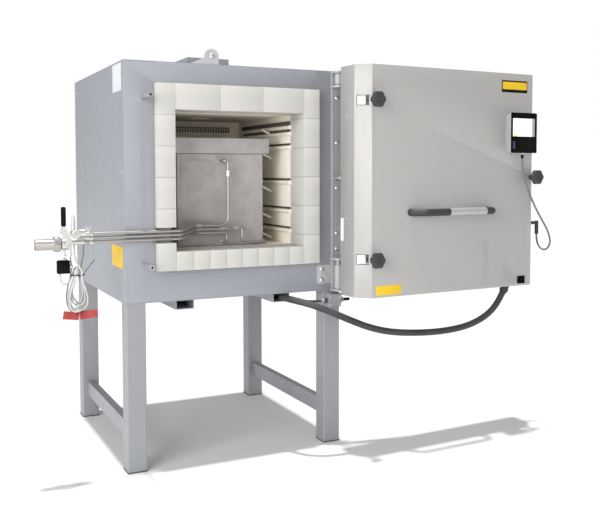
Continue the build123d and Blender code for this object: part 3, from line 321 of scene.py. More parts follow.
@dataclass(frozen=True)
class ScaledSteel(Finish):
    """Heat-resisting sheet that has been fired: dull, grey and blotched."""

    scale_tone: Tone = (152, 148, 146)

    def surface(self, shading: Shading) -> None:
        """Join the oxide blotches, the rolling lines and the rough skin."""
        blotches = shading.noise(17, 9)
        lines = shading.noise(self.grain, 4, self.stretch)
        oxide = shading.stops(
            blotches,
            (0.28, self.scale_tone),
            (0.5, self.tone),
            (0.75, lighter(self.tone, 0.14)),
        )
        streaks = shading.stops(
            lines, (0.3, lighter(self.tone, -0.1)), (0.7, lighter(self.tone, 0.08))
        )
        share = shading.levels(shading.noise(60, 4), 0.2, 0.6)
        shading.feed("Base Color", shading.blend(share, oxide, streaks))
        gloss = shading.levels(blotches, self.roughness + 0.1, self.roughness - 0.08)
        shading.feed("Roughness", gloss)
        shading.relief((lines, self.depth), (shading.noise(240, 5), self.depth * 2))


@dataclass(frozen=True)
class Film(Finish):
    """Thin coloured film that lets some light through."""

    clearness: float = 0.55

    def surface(self, shading: Shading) -> None:
        """Join a creased tint to a partly clear shader."""
        creases = shading.noise(90, 5)
        shading.feed("Base Color", self.tones(shading))
        shading.fix(Roughness=self.roughness, Transmission_Weight=self.clearness, IOR=1.4)
        shading.relief((creases, self.depth))


@dataclass(frozen=True)
class Glow(Finish):
    """Lit area of a display, with the faint grid of its picture points."""

    strength: float = 0.5

    def surface(self, shading: Shading) -> None:
        """Join the tone to the skin and to the light that it gives."""
        dots = shading.cells(2200)
        lit = shading.stops(dots, (0.2, self.tone), (0.9, lighter(self.tone, -0.06)))
        shading.feed("Base Color", lit)
        shading.feed("Emission Color", lit)
        shading.fix(Emission_Strength=self.strength, Roughness=self.roughness)
        shading.relief((dots, self.depth))


CASING = PowderCoat(
    "casing_coat", "casing_paint", (140, 143, 149), 0.45, variation=0.012, depth=0.00001
)
STAND = PowderCoat(
    "stand_paint", "leg_steel", (139, 141, 145), 0.48, variation=0.015, depth=0.00003
)
FRAME_PAINT = PowderCoat(
    "frame_paint", "arm_steel", (170, 170, 173), 0.45, variation=0.02, depth=0.00003
)
DOOR_SHEET = RolledSteel(
    "door_sheet", "door_steel", (170, 168, 166), 0.5, 0.25, 0.02, 420, 0.00003, (1, 1, 0.02)
)
# Same firebrick twice: the face copy is darkened against the strong light on the collar's front
# (painted shade), and the chamber copy is lightened to make up for the shade inside the chamber
# (painted light).
DARKENED_FACE_BRICK = Refractory("face_brick_darkened", "firebrick", (184, 182, 177), 0.95, variation=0.015, depth=0.00008)
LIGHTENED_CHAMBER_BRICK = Refractory(
    "chamber_brick_lightened", "firebrick", (238, 230, 214), 0.95, variation=0.05, depth=0.0004,
    soot=(212, 202, 180),
)
FIBRE = Refractory(
    "fibre_board", "insulation", (226, 222, 212), 0.97, variation=0.07, depth=0.0005, pores=900
)
ELEMENT_WIRE = ScaledSteel(
    "element_wire", "element_ceramic", (120, 112, 98), 0.6, 0.6, 0.1, 900, 0.00005
)
ZINC = RolledSteel("zinc_plate", "bolt_steel", (206, 207, 208), 0.3, 0.9, 0.05, 600, 0.00002)
KNOB = Finish("knob_moulding", "knob_plastic", (44, 46, 50), 0.55, 0, 0.06, 1400, 0.00006)
GRIP_DARK = Finish("handle_ends", "handle_dark", (36, 35, 35), 0.55, 0, 0.06, 1200, 0.00005)
GRIP_LIGHT = RolledSteel(
    "handle_tube", "handle_aluminium", (178, 176, 174), 0.4, 0.5, 0.03, 900, 0.00002, (0.03, 1, 1)
)
HOUSING_GREY = Finish(
    "controller_shell", "controller_grey", (182, 183, 183), 0.5, 0, 0.02, 1500, 0.00004
)
BLACK = Finish("black_moulding", "black_plastic", (4, 4, 5), 0.7, 0, 0.08, 1600, 0.00003)
FOOT = Finish("foot_moulding", "foot_plastic", (38, 38, 40), 0.6, 0, 0.08, 1100, 0.00006)
GLAND = Finish("gland_moulding", "gland_plastic", (44, 44, 47), 0.5, 0, 0.07, 1200, 0.00005)
CAST = Finish("cast_housing", "switch_metal", (144, 145, 149), 0.5, 0.3, 0.04, 420, 0.00015)
BARE = RolledSteel("bare_steel", "damper_steel", (166, 164, 160), 0.42, 0.8, 0.07, 500, 0.00003)
FIRED = ScaledSteel(
    "fired_sheet", "box_steel", (166, 163, 162), 0.6, 0.2, 0.035, 320, 0.0001, (1, 1, 0.08)
)
TUBE = RolledSteel(
    "drawn_tube", "tube_steel", (170, 166, 162), 0.36, 0.85, 0.05, 700, 0.00002, (0.05, 1, 1)
)
NICKEL = RolledSteel(
    "nickel_plate", "fitting_brass", (214, 212, 206), 0.28, 0.9, 0.06, 500, 0.00003
)
CONDUIT = Finish("conduit_skin", "conduit_black", (48, 48, 50), 0.55, 0, 0.07, 900, 0.0001)
SHEATH = Finish("light_sheath", "conduit_grey", (182, 182, 180), 0.5, 0, 0.05, 1300, 0.00005)
DARK_SHEATH = Finish("dark_sheath", "conduit_grey", (108, 106, 102), 0.55, 0, 0.06, 1300, 0.00005)
YELLOW = Finish("yellow_plate", "casing_paint", (226, 186, 14), 0.5, 0, 0.03, 900, 0.00002)
LABEL = Finish("blank_label", "casing_paint", (206, 208, 211), 0.5, 0, 0.01, 900, 0.00002)
BADGE = Finish("blank_badge", "door_steel", (20, 20, 20), 0.5, 0, 0.05, 900, 0.00002)
SEAL = Finish("window_seal", "door_steel", (62, 60, 60), 0.6, 0, 0.06, 900, 0.00004)
# Dark blotched strip for the narrow gap under the box lid's skirt: painted shade, not scorching.
LID_GAP_SHADE = ScaledSteel("painted_lid_gap_shade", "box_steel", (112, 108, 104), 0.7, 0.2, 0.05, 500, 0.0001)
TRACE = Finish("display_trace", "screen_glass", (186, 52, 46), 0.4, 0, 0.04, 900, 0.000005)
TAG_FILM = Film("tag_film", "conduit_grey", (198, 74, 70), 0.45, variation=0.06, depth=0.0004)
PAPER_WHITE = Glow(
    "display_light", "screen_glass", (238, 240, 236), 0.3, depth=0.000005, strength=0.45
)
DISPLAY_GREY = Glow(
    "display_grey", "screen_glass", (150, 156, 152), 0.3, depth=0.000005, strength=0.25
)
DISPLAY_AMBER = Glow(
    "display_amber", "screen_glass", (226, 190, 40), 0.3, depth=0.000005, strength=0.3
)
PALE_FLOOR = Finish("pale_floor", "casing_paint", (222, 222, 222), 0.9, 0, 0.002, 60, 0.00002)
INDICATOR = Finish("indicator_lens", "screen_glass", (52, 56, 92), 0.2, 0, 0.1, 900, 0.00002)


# ---- shop tools ----
def deselect() -> None:
    """Leave nothing selected, and no object in edit mode."""
    if bpy.context.object and bpy.context.object.mode != "OBJECT":
        bpy.ops.object.mode_set(mode="OBJECT")
    for thing in bpy.context.selected_objects:
        thing.select_set(False)


def take(*pieces: Piece) -> None:
    """Select only these pieces, the first of them active."""
    deselect()
    for piece in pieces:
        piece.select_set(True)
    bpy.context.view_layer.objects.active = pieces[0]


def placed(name: str, data: bpy.types.ID) -> Piece:
    """Put new data into the scene as an object at the origin."""
    thing = bpy.data.objects.new(name, data)
    bpy.context.scene.collection.objects.link(thing)
    return thing


@contextmanager
def editing() -> Iterator[None]:
    """Work on all of the active mesh in edit mode."""
    bpy.ops.object.mode_set(mode="EDIT")
    bpy.ops.mesh.select_all(action="SELECT")
    yield
    bpy.ops.object.mode_set(mode="OBJECT")


def bake_place(piece: Piece, place: Matrix | None = None) -> Piece:
    """Move a piece and put its place into its mesh.

    Args:
        piece: The piece.
        place: Where its own axes go, or None to leave it.

    Returns:
        The same piece, at the origin, unturned and unscaled.
    """
    take(piece)
    if place is not None:
        piece.matrix_world = place @ piece.matrix_world
    bpy.ops.object.transform_apply(location=True, rotation=True, scale=True)
    return piece


def cube(name: str, low: Point, high: Point) -> Piece:
    """Add a box between two corners.

    Args:
        name: The piece's name.
        low: Its lowest corner.
        high: Its highest corner.

    Returns:
        The box.
    """
    deselect()
    middle = [(first + last) / 2 for first, last in zip(low, high)]
    span = [last - first for first, last in zip(low, high)]
    bpy.ops.mesh.primitive_cube_add(size=1, location=middle, scale=span)
    piece = bpy.context.object
    piece.name = name
    return bake_place(piece)


def turned(name: str, stations: Stations, sides: int = 40) -> Piece:
    """Turn a round piece about its own Z by extruding and scaling a disc, as on a lathe.

    Args:
        name: The piece's name.
        stations: Height and radius at each step of the profile.
        sides: Facets round the piece.

    Returns:
        The piece, closed at both ends.
    """
    deselect()
    height, radius = stations[0]
    bpy.ops.mesh.primitive_circle_add(
        vertices=sides, radius=radius, fill_type="NGON", location=(0, 0, height)
    )
    piece = bpy.context.object
    piece.name = name
    bake_place(piece)
    with editing():
        for next_height, next_radius in stations[1:]:
            rise = next_height - height
            bpy.ops.mesh.extrude_region_move(TRANSFORM_OT_translate={"value": (0, 0, rise)})
            share = next_radius / radius
            middle = (0, 0, next_height)
            bpy.ops.transform.resize(value=(share, share, 1), center_override=middle)
            height, radius = next_height, next_radius
        bpy.ops.mesh.select_all(action="SELECT")
        bpy.ops.mesh.normals_make_consistent(inside=False)
    return smooth(piece)


def helix(name: str, radius: float, wire: float, pitch: float, length: float, steps: int) -> Piece:
    """Wind a wire about the X axis.

    Args:
        name: The piece's name.
        radius: Distance from the axis to the middle of the wire.
        wire: Radius of the wire.
        pitch: Distance between turns.
        length: Length of the coil.
        steps: Facets to a turn.

    Returns:
        The coil, which starts at the origin and runs along X.
    """
    deselect()
    bpy.ops.mesh.primitive_circle_add(
        vertices=6, radius=wire, location=(0, 0, radius), rotation=(pi / 2, 0, 0)
    )
    piece = bake_place(bpy.context.object)
    piece.name = name
    winding = piece.modifiers.new("winding", "SCREW")
    winding.axis = "X"
    winding.screw_offset = pitch
    winding.iterations = round(length / pitch)
    winding.steps = winding.render_steps = steps
    bpy.ops.object.modifier_apply(modifier=winding.name)
    with editing():
        bpy.ops.mesh.fill_holes(sides=8)
        bpy.ops.mesh.normals_make_consistent(inside=False)
    return smooth(piece, 60)


def bevel(piece: Piece, width: float, segments: int = 2) -> Piece:
    """Round a piece's sharp edges for good.

    Args:
        piece: The piece.
        width: Width of the rounding.
        segments: Facets across it.

    Returns:
        The same piece.
    """
    take(piece)
    rounding = piece.modifiers.new("rounding", "BEVEL")
    rounding.width = width
    rounding.segments = segments
    rounding.limit_method = "ANGLE"
    rounding.angle_limit = radians(SHARP_EDGE)
    rounding.use_clamp_overlap = True
    bpy.ops.object.modifier_apply(modifier=rounding.name)
    return smooth(piece)


def smooth(piece: Piece, angle: float = 32) -> Piece:
    """Shade a piece smoothly except across edges sharper than an angle."""
    take(piece)
    bpy.ops.object.shade_smooth_by_angle(angle=radians(angle))
    return piece


def joined(name: str, pieces: Sequence[Piece]) -> Piece:
    """Join pieces into one mesh under a name."""
    take(*pieces)
    if len(pieces) > 1:
        bpy.ops.object.join()
    pieces[0].name = name
    return pieces[0]


def repeated(name: str, pattern: Piece, places: Iterable[Matrix]) -> Piece:
    """Copy a piece to many places, each copy with its own mesh, and join them.

    Args:
        name: The joined piece's name.
        pattern: The piece to copy; it is used up.
        places: Where the pattern's own axes go in each copy.

    Returns:
        The joined piece.
    """
    made = []
    for place in places:
        take(pattern)
        bpy.ops.object.duplicate(linked=False)
        made.append(bake_place(bpy.context.object, place))
    bpy.data.objects.remove(pattern)
    return joined(name, made)


def softened(node: str, width: float, segments: int = 2) -> Piece:
    """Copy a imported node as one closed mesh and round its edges.

    Args:
        node: The node's name.
        width: Width of the rounding.
        segments: Facets across it.

    Returns:
        The copy, which stands for the node.
    """
    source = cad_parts[node]
    piece = placed(f"{node}_finished", source.data.copy())
    piece.data.materials.clear()
    take(piece)
    with editing():
        bpy.ops.mesh.remove_doubles(threshold=WELD)
        bpy.ops.mesh.dissolve_limited(angle_limit=radians(0.5))
    bevel(piece, width, segments)
    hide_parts(node)
    return piece


def dress(piece: Piece, finish: Finish) -> Piece:
    """Give a piece one finish all over."""
    piece.data.materials.clear()
    piece.data.materials.append(finish.material())
    for face in getattr(piece.data, "polygons", ()):
        face.material_index = 0
    return piece


def fit(piece: Piece, body: str, finish: Finish, *nodes: str) -> Piece:
    """Dress a piece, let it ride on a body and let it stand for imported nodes.

    Args:
        piece: The finished mesh.
        body: The body that it moves with.
        finish: What it is made of.
        *nodes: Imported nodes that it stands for.

    Returns:
        The same piece.
    """
    dress(piece, finish)
    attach(piece, body)
    if nodes:
        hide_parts(*nodes)
    log.info("%s rides on %s", piece.name, body)
    return piece


def refine(finish: Finish, body: str, edge: float, *nodes: str) -> None:
    """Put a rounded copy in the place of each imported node.

    Args:
        finish: What the copies are made of.
        body: The body that they move with.
        edge: Width of the rounding.
        *nodes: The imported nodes.
    """
    for node in nodes:
        fit(softened(node, edge), body, finish)


def paint(finish: Finish, *nodes: str) -> None:
    """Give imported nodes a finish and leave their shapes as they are."""
    for name in nodes:
        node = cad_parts[name]
        node.data.materials.clear()
        node.data.materials.append(finish.material())
        log.info("%s is dressed in %s", name, finish.name)


def at(x: float, y: float, z: float) -> Matrix:
    """Return a place with its axes unturned."""
    return Matrix.Translation((x, y, z))


def on_front(x: float, y: float, z: float) -> Matrix:
    """Return the place on a face towards the operator; a piece's own Z points out of it."""
    return at(x, y, z) @ UPRIGHT


def along_x(x: float, y: float, z: float, hand: int = 1) -> Matrix:
    """Return the place where a piece's own Z points right (1) or left (-1)."""
    return at(x, y, z) @ Matrix.Rotation(radians(90) * hand, 4, "Y")


def on_door(u: float, depth: float, z: float) -> Matrix:
    """Return the place on the door's face; a piece's own Z points out of it."""
    return DOOR @ at(u, depth, z) @ UPRIGHT


def door_point(u: float, depth: float, z: float) -> Point:
    """Return a point given along the door's face, behind it and by its height."""
    return tuple(DOOR @ Vector((u, depth, z)))


# ---- cords ----
class FarEnd(Enum):
    """What a cord ends in."""

    OBJECT = "object"


class Stiffness(Enum):
    """How readily a cord bends."""

    LIMP = "limp"
    MEDIUM = "medium"
    STIFF = "stiff"


class Lay(Enum):
    """How a cord lies."""

    HANGING = "hanging"
    COILED = "coiled"


@dataclass
class Cord:
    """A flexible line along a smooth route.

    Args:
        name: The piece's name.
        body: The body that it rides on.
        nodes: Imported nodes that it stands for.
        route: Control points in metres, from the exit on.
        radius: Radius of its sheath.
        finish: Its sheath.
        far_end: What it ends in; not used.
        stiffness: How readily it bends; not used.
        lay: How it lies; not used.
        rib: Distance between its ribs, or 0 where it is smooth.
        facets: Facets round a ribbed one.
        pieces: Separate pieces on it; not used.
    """

    name: str
    body: str
    nodes: tuple[str, ...]
    route: Sequence[Point]
    radius: float
    finish: Finish
    far_end: FarEnd = FarEnd.OBJECT
    stiffness: Stiffness = Stiffness.MEDIUM
    lay: Lay = Lay.HANGING
    rib: float = 0.0
    facets: int = 20
    pieces: Sequence[Piece] = ()

    def spline(self) -> Piece:
        """Return the route as one smooth open spline with no thickness."""
        curve = bpy.data.curves.new(self.name, "CURVE")
        curve.dimensions = "3D"
        curve.resolution_u = 10
        line = curve.splines.new("NURBS")
        line.points.add(len(self.route) - 1)
        for place, point in zip(line.points, self.route):
            place.co = (*point, 1)
        line.order_u = 3
        line.use_endpoint_u = True
        return placed(self.name, curve)

    def centreline(self, piece: Piece) -> list[Vector]:
        """Return the points along the middle of the smooth route."""
        bpy.context.view_layer.update()
        mesh = bpy.data.meshes.new_from_object(piece)
        points = [vertex.co.copy() for vertex in mesh.vertices]
        bpy.data.meshes.remove(mesh)
        return points

    def ribbed(self, points: list[Vector]) -> Piece:
        """Return a corrugated tube along points.

        Args:
            points: The middle of the tube.

        Returns:
            The tube, closed at both ends.
        """
        sides = self.facets
        walk = [0.0]
        for before, after in zip(points, points[1:]):
            walk.append(walk[-1] + (after - before).length)
        count = int(walk[-1] / self.rib) * 3
        vertices: list[Vector] = []
        across = Vector((0, 0, 1))
        leg = 0
        for step in range(count + 1):
            reach = walk[-1] * step / count
            while leg < len(points) - 2 and walk[leg + 1] < reach:
                leg += 1
            span = points[leg + 1] - points[leg]
            centre = points[leg] + span * ((reach - walk[leg]) / span.length)
            along = span.normalized()
            across = (across - along * across.dot(along)).normalized()
            other = along.cross(across)
            radius = self.radius - (self.rib * 0.22 if step % 3 == 0 else 0)
            for corner in range(sides):
                turn = 2 * pi * corner / sides
                vertices.append(centre + (across * cos(turn) + other * sin(turn)) * radius)
        faces = [tuple(reversed(range(sides)))]
        for step in range(count):
            for corner in range(sides):
                after = (corner + 1) % sides
                low = step * sides
                high = low + sides
                faces.append((low + corner, low + after, high + after, high + corner))
        faces.append(tuple(count * sides + corner for corner in range(sides)))
        mesh = bpy.data.meshes.new(self.name)
        mesh.from_pydata(vertices, [], faces)
        return smooth(placed(self.name, mesh), 70)

    def make(self) -> Piece:
        piece = self.spline()
        points = self.centreline(piece)
        if self.rib:
            bpy.data.objects.remove(piece)
            piece = self.ribbed(points)
        else:
            piece.data.bevel_depth = self.radius
            piece.data.bevel_resolution = 4
            piece.data.use_fill_caps = True
        fit(piece, self.body, self.finish, *self.nodes)
        return piece


# ---- sub-assemblies ----
@dataclass
class Stand:
    """Four square legs with caps, joined front to back, and two channels under the body."""

    cap_edge: float = 0.0012

    def build(self) -> None:
        """Finish the legs, their caps, the stretchers and the channels."""
        refine(FOOT, "furnace", self.cap_edge, "leg_caps")
        paint(STAND, "legs", "stretchers", "floor_channels")


@dataclass
class Casing:
    """Sheet-metal body with its roof, front frame, hinge column and lugs."""

    sheet_edge: float = 0.0012
    half_width: float = 0.4325
    plate: Corners = ((-0.4334, -0.386, 0.733), (-0.4325, -0.230, 0.811))
    label: Corners = ((-0.4330, -0.395, 1.366), (-0.4325, -0.270, 1.463))
    screw_rows: Row = (0.734, 1.08, 1.42)
    bolt_radius: float = 0.0088
    bolt_rows: Row = (0.661, 0.774, 0.836, 1.013, 1.190, 1.366, 1.449)
    web: Pair = (0.74, 1.40)
    column_edge: float = 0.0009

    def screws(self) -> Piece:
        """Return the dome-headed screws along the side panels."""
        screw = turned(
            "screw",
            [
                (0, 0.0045),
                (0.0012, 0.0045),
                (0.0024, 0.0034),
                (0.0028, 0.0018),
                (0.0018, 0.0016),
                (0.0018, 0.0002),
            ],
            16,
        )
        places = []
        for height in self.screw_rows:
            places.append(along_x(-self.half_width, -0.393, height, -1))
            for hand in (-1, 1):
                places.append(along_x(hand * self.half_width, 0.395, height, hand))
        return repeated("panel_screws", screw, places)

    def bolts(self) -> Piece:
        """Return the socket-headed bolts of the hinge column."""
        radius = self.bolt_radius
        profile = [(0, 1), (0.0022, 1), (0.0044, 0.82), (0.0057, 0.55), (0.0059, 0.42)]
        profile += [(0.0059, 0.36), (0.0026, 0.34)]
        bolt = turned("bolt", [(height, radius * share) for height, share in profile], 24)
        low, high = self.web
        places = [
            on_front(0.41475, -0.4255 if low < height < high else -0.4285, height)
            for height in self.bolt_rows
        ]
        places += [on_front(0.346, -0.4272, height) for height in (0.653, 0.696)]
        places.append(on_front(-0.1035, -0.4215, 1.4995))
        return repeated("column_bolt_heads", bolt, places)

    def build(self) -> None:
        """Finish the panels and add the label plate, the screws and the bolts."""
        paint(CASING, "floor_panel", "roof_panel", "side_panels", "rear_panel")
        refine(CASING, "furnace", self.sheet_edge, "front_plate")
        refine(FRAME_PAINT, "furnace", self.column_edge, "hinge_column")
        paint(FRAME_PAINT, "hinge_brackets", "roof_bracket")
        paint(ZINC, "lugs")
        fit(self.screws(), "furnace", ZINC)
        fit(self.bolts(), "furnace", ZINC, "column_bolts")
        fit(bevel(cube("side_plate", *self.plate), 0.0004), "furnace", YELLOW)
        fit(bevel(cube("side_label", *self.label), 0.0002, 1), "furnace", LABEL)


@dataclass
class Lining:
    """Bricks round the opening and in the chamber, and the heating coils."""

    brick_edge: float = 0.0005
    rows: Row = (0.8553, 0.9333, 1.0473, 1.1863, 1.2403)
    top_row: float = 1.2693
    rear_rows: Row = (0.852, 0.946, 1.040, 1.150, 1.264)
    groove_x: float = 0.2632
    top_x: float = 0.2592
    coil_length: float = 0.495

    def at_walls(self, x: float, y: float, rows: Iterable[float]) -> list[Matrix]:
        """Return the places on both side walls where a piece's own X runs to the rear."""
        turn = Matrix.Rotation(radians(90), 4, "Z")
        return [at(hand * x, y, height) @ turn for height in rows for hand in (-1, 1)]

    def side_coils(self) -> Piece:
        """Return the thin coils in the grooves of both side walls."""
        coil = helix("thin_coil", 0.0031, 0.0009, 0.0062, self.coil_length, 10)
        core = turned("thin_core", [(0, 0.0021), (self.coil_length, 0.0021)], 10)
        coil = joined("thin_coil", [coil, bake_place(core, along_x(0, 0, 0))])
        return repeated("side_coils", coil, self.at_walls(self.groove_x, -0.330, self.rows))

    def top_coils(self) -> Piece:
        """Return the thicker coil along the top of both side walls."""
        coil = helix("thick_coil", 0.0066, 0.0014, 0.0085, 0.493, 14)
        return repeated("top_coils", coil, self.at_walls(self.top_x, -0.328, (self.top_row,)))

    def rear_coils(self) -> Piece:
        """Return the open coils that lie on the rear wall's shelves."""
        coil = helix("rear_coil", 0.0113, 0.0016, 0.012, 0.462, 20)
        places = [at(-0.249, 0.1917, height) for height in self.rear_rows]
        return repeated("rear_coils", coil, places)

    def build(self) -> None:
        """Finish the bricks, the walls and the coils."""
        collar = ("sill_bricks", "lintel_bricks", "left_jamb_bricks", "right_jamb_bricks")
        # The collar takes the darkened copy of the firebrick (painted shade) and the chamber walls
        # the lightened copy (painted light).
        refine(DARKENED_FACE_BRICK, "furnace", self.brick_edge, *collar)
        paint(
            LIGHTENED_CHAMBER_BRICK,
            "chamber_floor_bricks",
            "chamber_roof_bricks",
            "chamber_rear_bricks",
            "left_chamber_wall",
            "right_chamber_wall",
        )
        paint(FIBRE, "backup_insulation")
        fit(self.rear_coils(), "furnace", ELEMENT_WIRE, "element_tubes")
        fit(self.side_coils(), "furnace", ELEMENT_WIRE)
        fit(self.top_coils(), "furnace", ELEMENT_WIRE)


@dataclass
class Roof:
    """Exhaust housing on the roof with the damper's knob and shaft."""

    edge: float = 0.0015

    def build(self) -> None:
        """Finish the housing and the damper."""
        refine(CASING, "furnace", self.edge, "exhaust_housing")
        paint(BARE, "damper")


@dataclass
class Arms:
    """The two swing arms of the door."""

    edge: float = 0.0012

    def build(self) -> None:
        """Finish both arms."""
        for name in ("upper_arm", "lower_arm"):
            refine(FRAME_PAINT, name, self.edge, name)


@dataclass
class Door:
    """Folded door with its insulation, handle, knobs, controller and switch."""

    knob_radius: float = 0.0315
    lobes: int = 6
    lobe_swell: float = 0.06
    shell_edge: float = 0.0012
    block_edge: float = 0.003
    catches: Pair = (0.749, 1.342)
    side_screws: Pair = (0.900, 1.290)
    plate: Corners = ((0.0185, -0.0009, 0.6130), (0.1328, 0, 0.6478))
    badge: Corners = ((0.627, -0.0012, 1.398), (0.763, 0, 1.446))
    panel: Corners = ((0.631, -0.0016, 1.410), (0.759, -0.001, 1.440))

    def window_seals(self) -> Piece:
        """Return the dark edgings of the two windows in the left chamfer."""
        half, reach, bar = 0.019, 0.0245, 0.002
        spans = (
            ((-reach, -half), (reach, bar - half)),
            ((-reach, half - bar), (reach, half)),
            ((-reach, -half), (bar - reach, half)),
        )
        bars = [
            cube("seal_bar", (left, -0.0008, low), (right, 0.0006, high))
            for (left, low), (right, high) in spans
        ]
        slope = Matrix.Rotation(radians(-45), 4, "Z")
        places = [DOOR @ at(-0.025, 0.025, height) @ slope for height in self.catches]
        return repeated("window_seals", joined("seal", bars), places)

    def knob(self, name: str, u: float, z: float) -> None:
        """Add one six-lobed clamping knob.

        Args:
            name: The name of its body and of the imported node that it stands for.
            u: Its place along the door's face.
            z: Its height.
        """
        radius = self.knob_radius
        profile = [(0.028, 0.55), (0.0295, 0.72), (0.033, 0.90), (0.038, 0.95), (0.045, 0.93)]
        profile += [(0.049, 0.84), (0.0502, 0.62), (0.0502, 0.42), (0.0478, 0.38), (0.0478, 0.05)]
        steps = [(height, radius * share) for height, share in profile]
        body = turned(name + "_grip", steps, 96)
        for vertex in body.data.vertices:
            reach = Vector((vertex.co.x, vertex.co.y)).length
            if reach > radius * 0.5:
                wave = cos(self.lobes * atan2(vertex.co.y, vertex.co.x))
                swell = 1 + self.lobe_swell * wave * min(1, (reach / radius - 0.5) * 3)
                vertex.co.x *= swell
                vertex.co.y *= swell
        neck = turned(
            name + "_neck",
            [
                (-0.03, 0.0046),
                (0.0, 0.005),
                (0.0025, 0.005),
                (0.0025, 0.0105),
                (0.026, 0.012),
                (0.029, 0.016),
            ],
            32,
        )
        both = bake_place(joined(name + "_moulding", [body, neck]), on_door(u, 0, z))
        fit(smooth(both, 40), name, KNOB, name)

    def build(self) -> None:
        """Finish the door and everything that it carries."""
        refine(DOOR_SHEET, "door", self.shell_edge, "door_shell")
        refine(FIBRE, "door", self.block_edge, "door_insulation")
        paint(FRAME_PAINT, "door_brackets")
        paint(GRIP_DARK, "handle_ends")
        paint(GRIP_LIGHT, "handle_grip")
        lower, upper = self.catches
        self.knob("upper_left_knob", 0, upper)
        self.knob("lower_left_knob", 0, lower)
        self.knob("right_knob", 0.785, 1.053)
        paint(GLAND, "door_glands")
        paint(BLACK, "switch_bezel", "switch_rocker")
        sheets = (
            ("door_plate", self.plate, YELLOW, (0.0004,)),
            ("door_badge", self.badge, BADGE, (0.0004,)),
            ("badge_field", self.panel, YELLOW, (0.0002, 1)),
        )
        for name, corners, finish, rounding in sheets:
            fit(bevel(bake_place(cube(name, *corners), DOOR), *rounding), "door", finish)
        fit(self.window_seals(), "door", SEAL)
        dome = [(0, 0.0042), (0.0012, 0.0042), (0.0026, 0.0028), (0.0028, 0.001)]
        places = [DOOR @ along_x(-0.048, 0.100, height, -1) for height in self.side_screws]
        fit(repeated("door_side_screws", turned("side_screw", dome, 16), places), "door", ZINC)
        steps = [(0, 0.0046), (0.004, 0.0052), (0.005, 0.0048), (0.009, 0.0056)]
        steps += [(0.010, 0.0052), (0.016, 0.0068)]
        relief = turned("cable_relief", steps, 24)
        fit(bake_place(relief, DOOR @ at(0.712, -0.030, 1.129)), "door", BLACK)
        steps = [(0, 0.0165), (0.003, 0.0182), (0.012, 0.0182), (0.015, 0.0165)]
        nut = turned("conduit_nut", steps, 12)
        lean = at(1.13507, -0.56345, 0.57615) @ Matrix.Rotation(radians(30), 4, "Y")
        fit(bake_place(nut, lean), "door", GLAND)


@dataclass
class Controller:
    """Wall-mounted programmer on the door, with a lit display in a black front."""

    face: float = -0.061
    screen: tuple[float, float, float, float] = (0.632, 0.748, 1.217, 1.289)
    grid_rows: Row = (1.231, 1.243, 1.255, 1.267, 1.279)
    curve: Stations = ((0, 1.232), (0.022, 1.262), (0.058, 1.262), (0.088, 1.240))
    shell_edge: float = 0.0015
    front_edge: float = 0.0012
    line: float = 0.0005

    def patch(self, name: str, across: Pair, up: Pair, lift: float) -> Piece:
        """Return a thin rounded patch on the front.

        Args:
            name: The patch's name.
            across: Its span along the door.
            up: Its span in height.
            lift: How far it stands out of the display's level.

        Returns:
            The patch.
        """
        low = (across[0], self.face - lift, up[0])
        high = (across[1], self.face + 0.0004, up[1])
        return bevel(bake_place(cube(name, low, high), DOOR), 0.0002, 1)

    def build(self) -> None:
        """Finish the shell and the front, and draw the display."""
        refine(HOUSING_GREY, "door", self.shell_edge, "controller_housing")
        refine(BLACK, "door", self.front_edge, "controller_fascia")
        left, right, low, high = self.screen
        bar = right - 0.014
        pane = self.patch("display", (left, right), (low, high), 0.0002)
        fit(pane, "door", PAPER_WHITE, "controller_screen")
        tab = (left + 0.002, left + 0.022)
        patches = (
            ("display_side_bar", (bar, right), (low, high), 0.0004, DISPLAY_GREY),
            ("display_tab", tab, (low, low + 0.005), 0.0004, DISPLAY_AMBER),
            ("service_flap", (left, left + 0.012), (1.168, 1.198), 0.0006, INDICATOR),
        )
        for name, across, up, lift, finish in patches:
            fit(self.patch(name, across, up, lift), "door", finish)
        grid = [
            self.patch("grid", (left + 0.004, bar - 0.002), (height, height + 0.0005), 0.0004)
            for height in self.grid_rows
        ]
        fit(joined("display_grid", grid), "door", DISPLAY_GREY)
        fit(self.trace("display_trace", left + 0.006, self.curve), "door", TRACE)

    def trace(self, name: str, left: float, steps: Stations) -> Piece:
        """Return a thin line through points on the display.

        Args:
            name: The line's name.
            left: The display's edge that the points count from.
            steps: Distance from that edge and height of each point.

        Returns:
            The line.
        """
        spans = []
        half = self.line
        for (start, low), (end, high) in zip(steps, steps[1:]):
            length = Vector((end - start, high - low)).length
            span = cube(name, (-half, -0.0002, -half), (length + half, 0.0002, half))
            place = at(left + start, self.face - 0.0004, low)
            slope = Matrix.Rotation(-atan2(high - low, end - start), 4, "Y")
            spans.append(bake_place(span, DOOR @ place @ slope))
        return joined(name, spans)


@dataclass
class DoorSwitch:
    """Limit switch on the right front leg, pressed by the closed door."""

    edge: float = 0.0012
    screw_x: Pair = (0.369, 0.411)
    screw_rows: Pair = (0.555, 0.585)

    def build(self) -> None:
        """Finish the switch and its plunger."""
        refine(CAST, "furnace", self.edge, "limit_switch")
        paint(BLACK, "switch_plunger")
        dome = [(0, 0.0032), (0.001, 0.0032), (0.0018, 0.0024), (0.0012, 0.0008)]
        screw = turned("screw", dome, 16)
        places = [on_front(x, -0.4575, z) for x in self.screw_x for z in self.screw_rows]
        fit(repeated("switch_screws", screw, places), "furnace", ZINC)
        steps = [(0, 0.0088), (0.001, 0.0098), (0.011, 0.0098), (0.012, 0.0088)]
        nut = turned("switch_nut", steps, 6)
        fit(bake_place(nut, along_x(0.350, -0.4385, 0.572)), "furnace", GLAND)


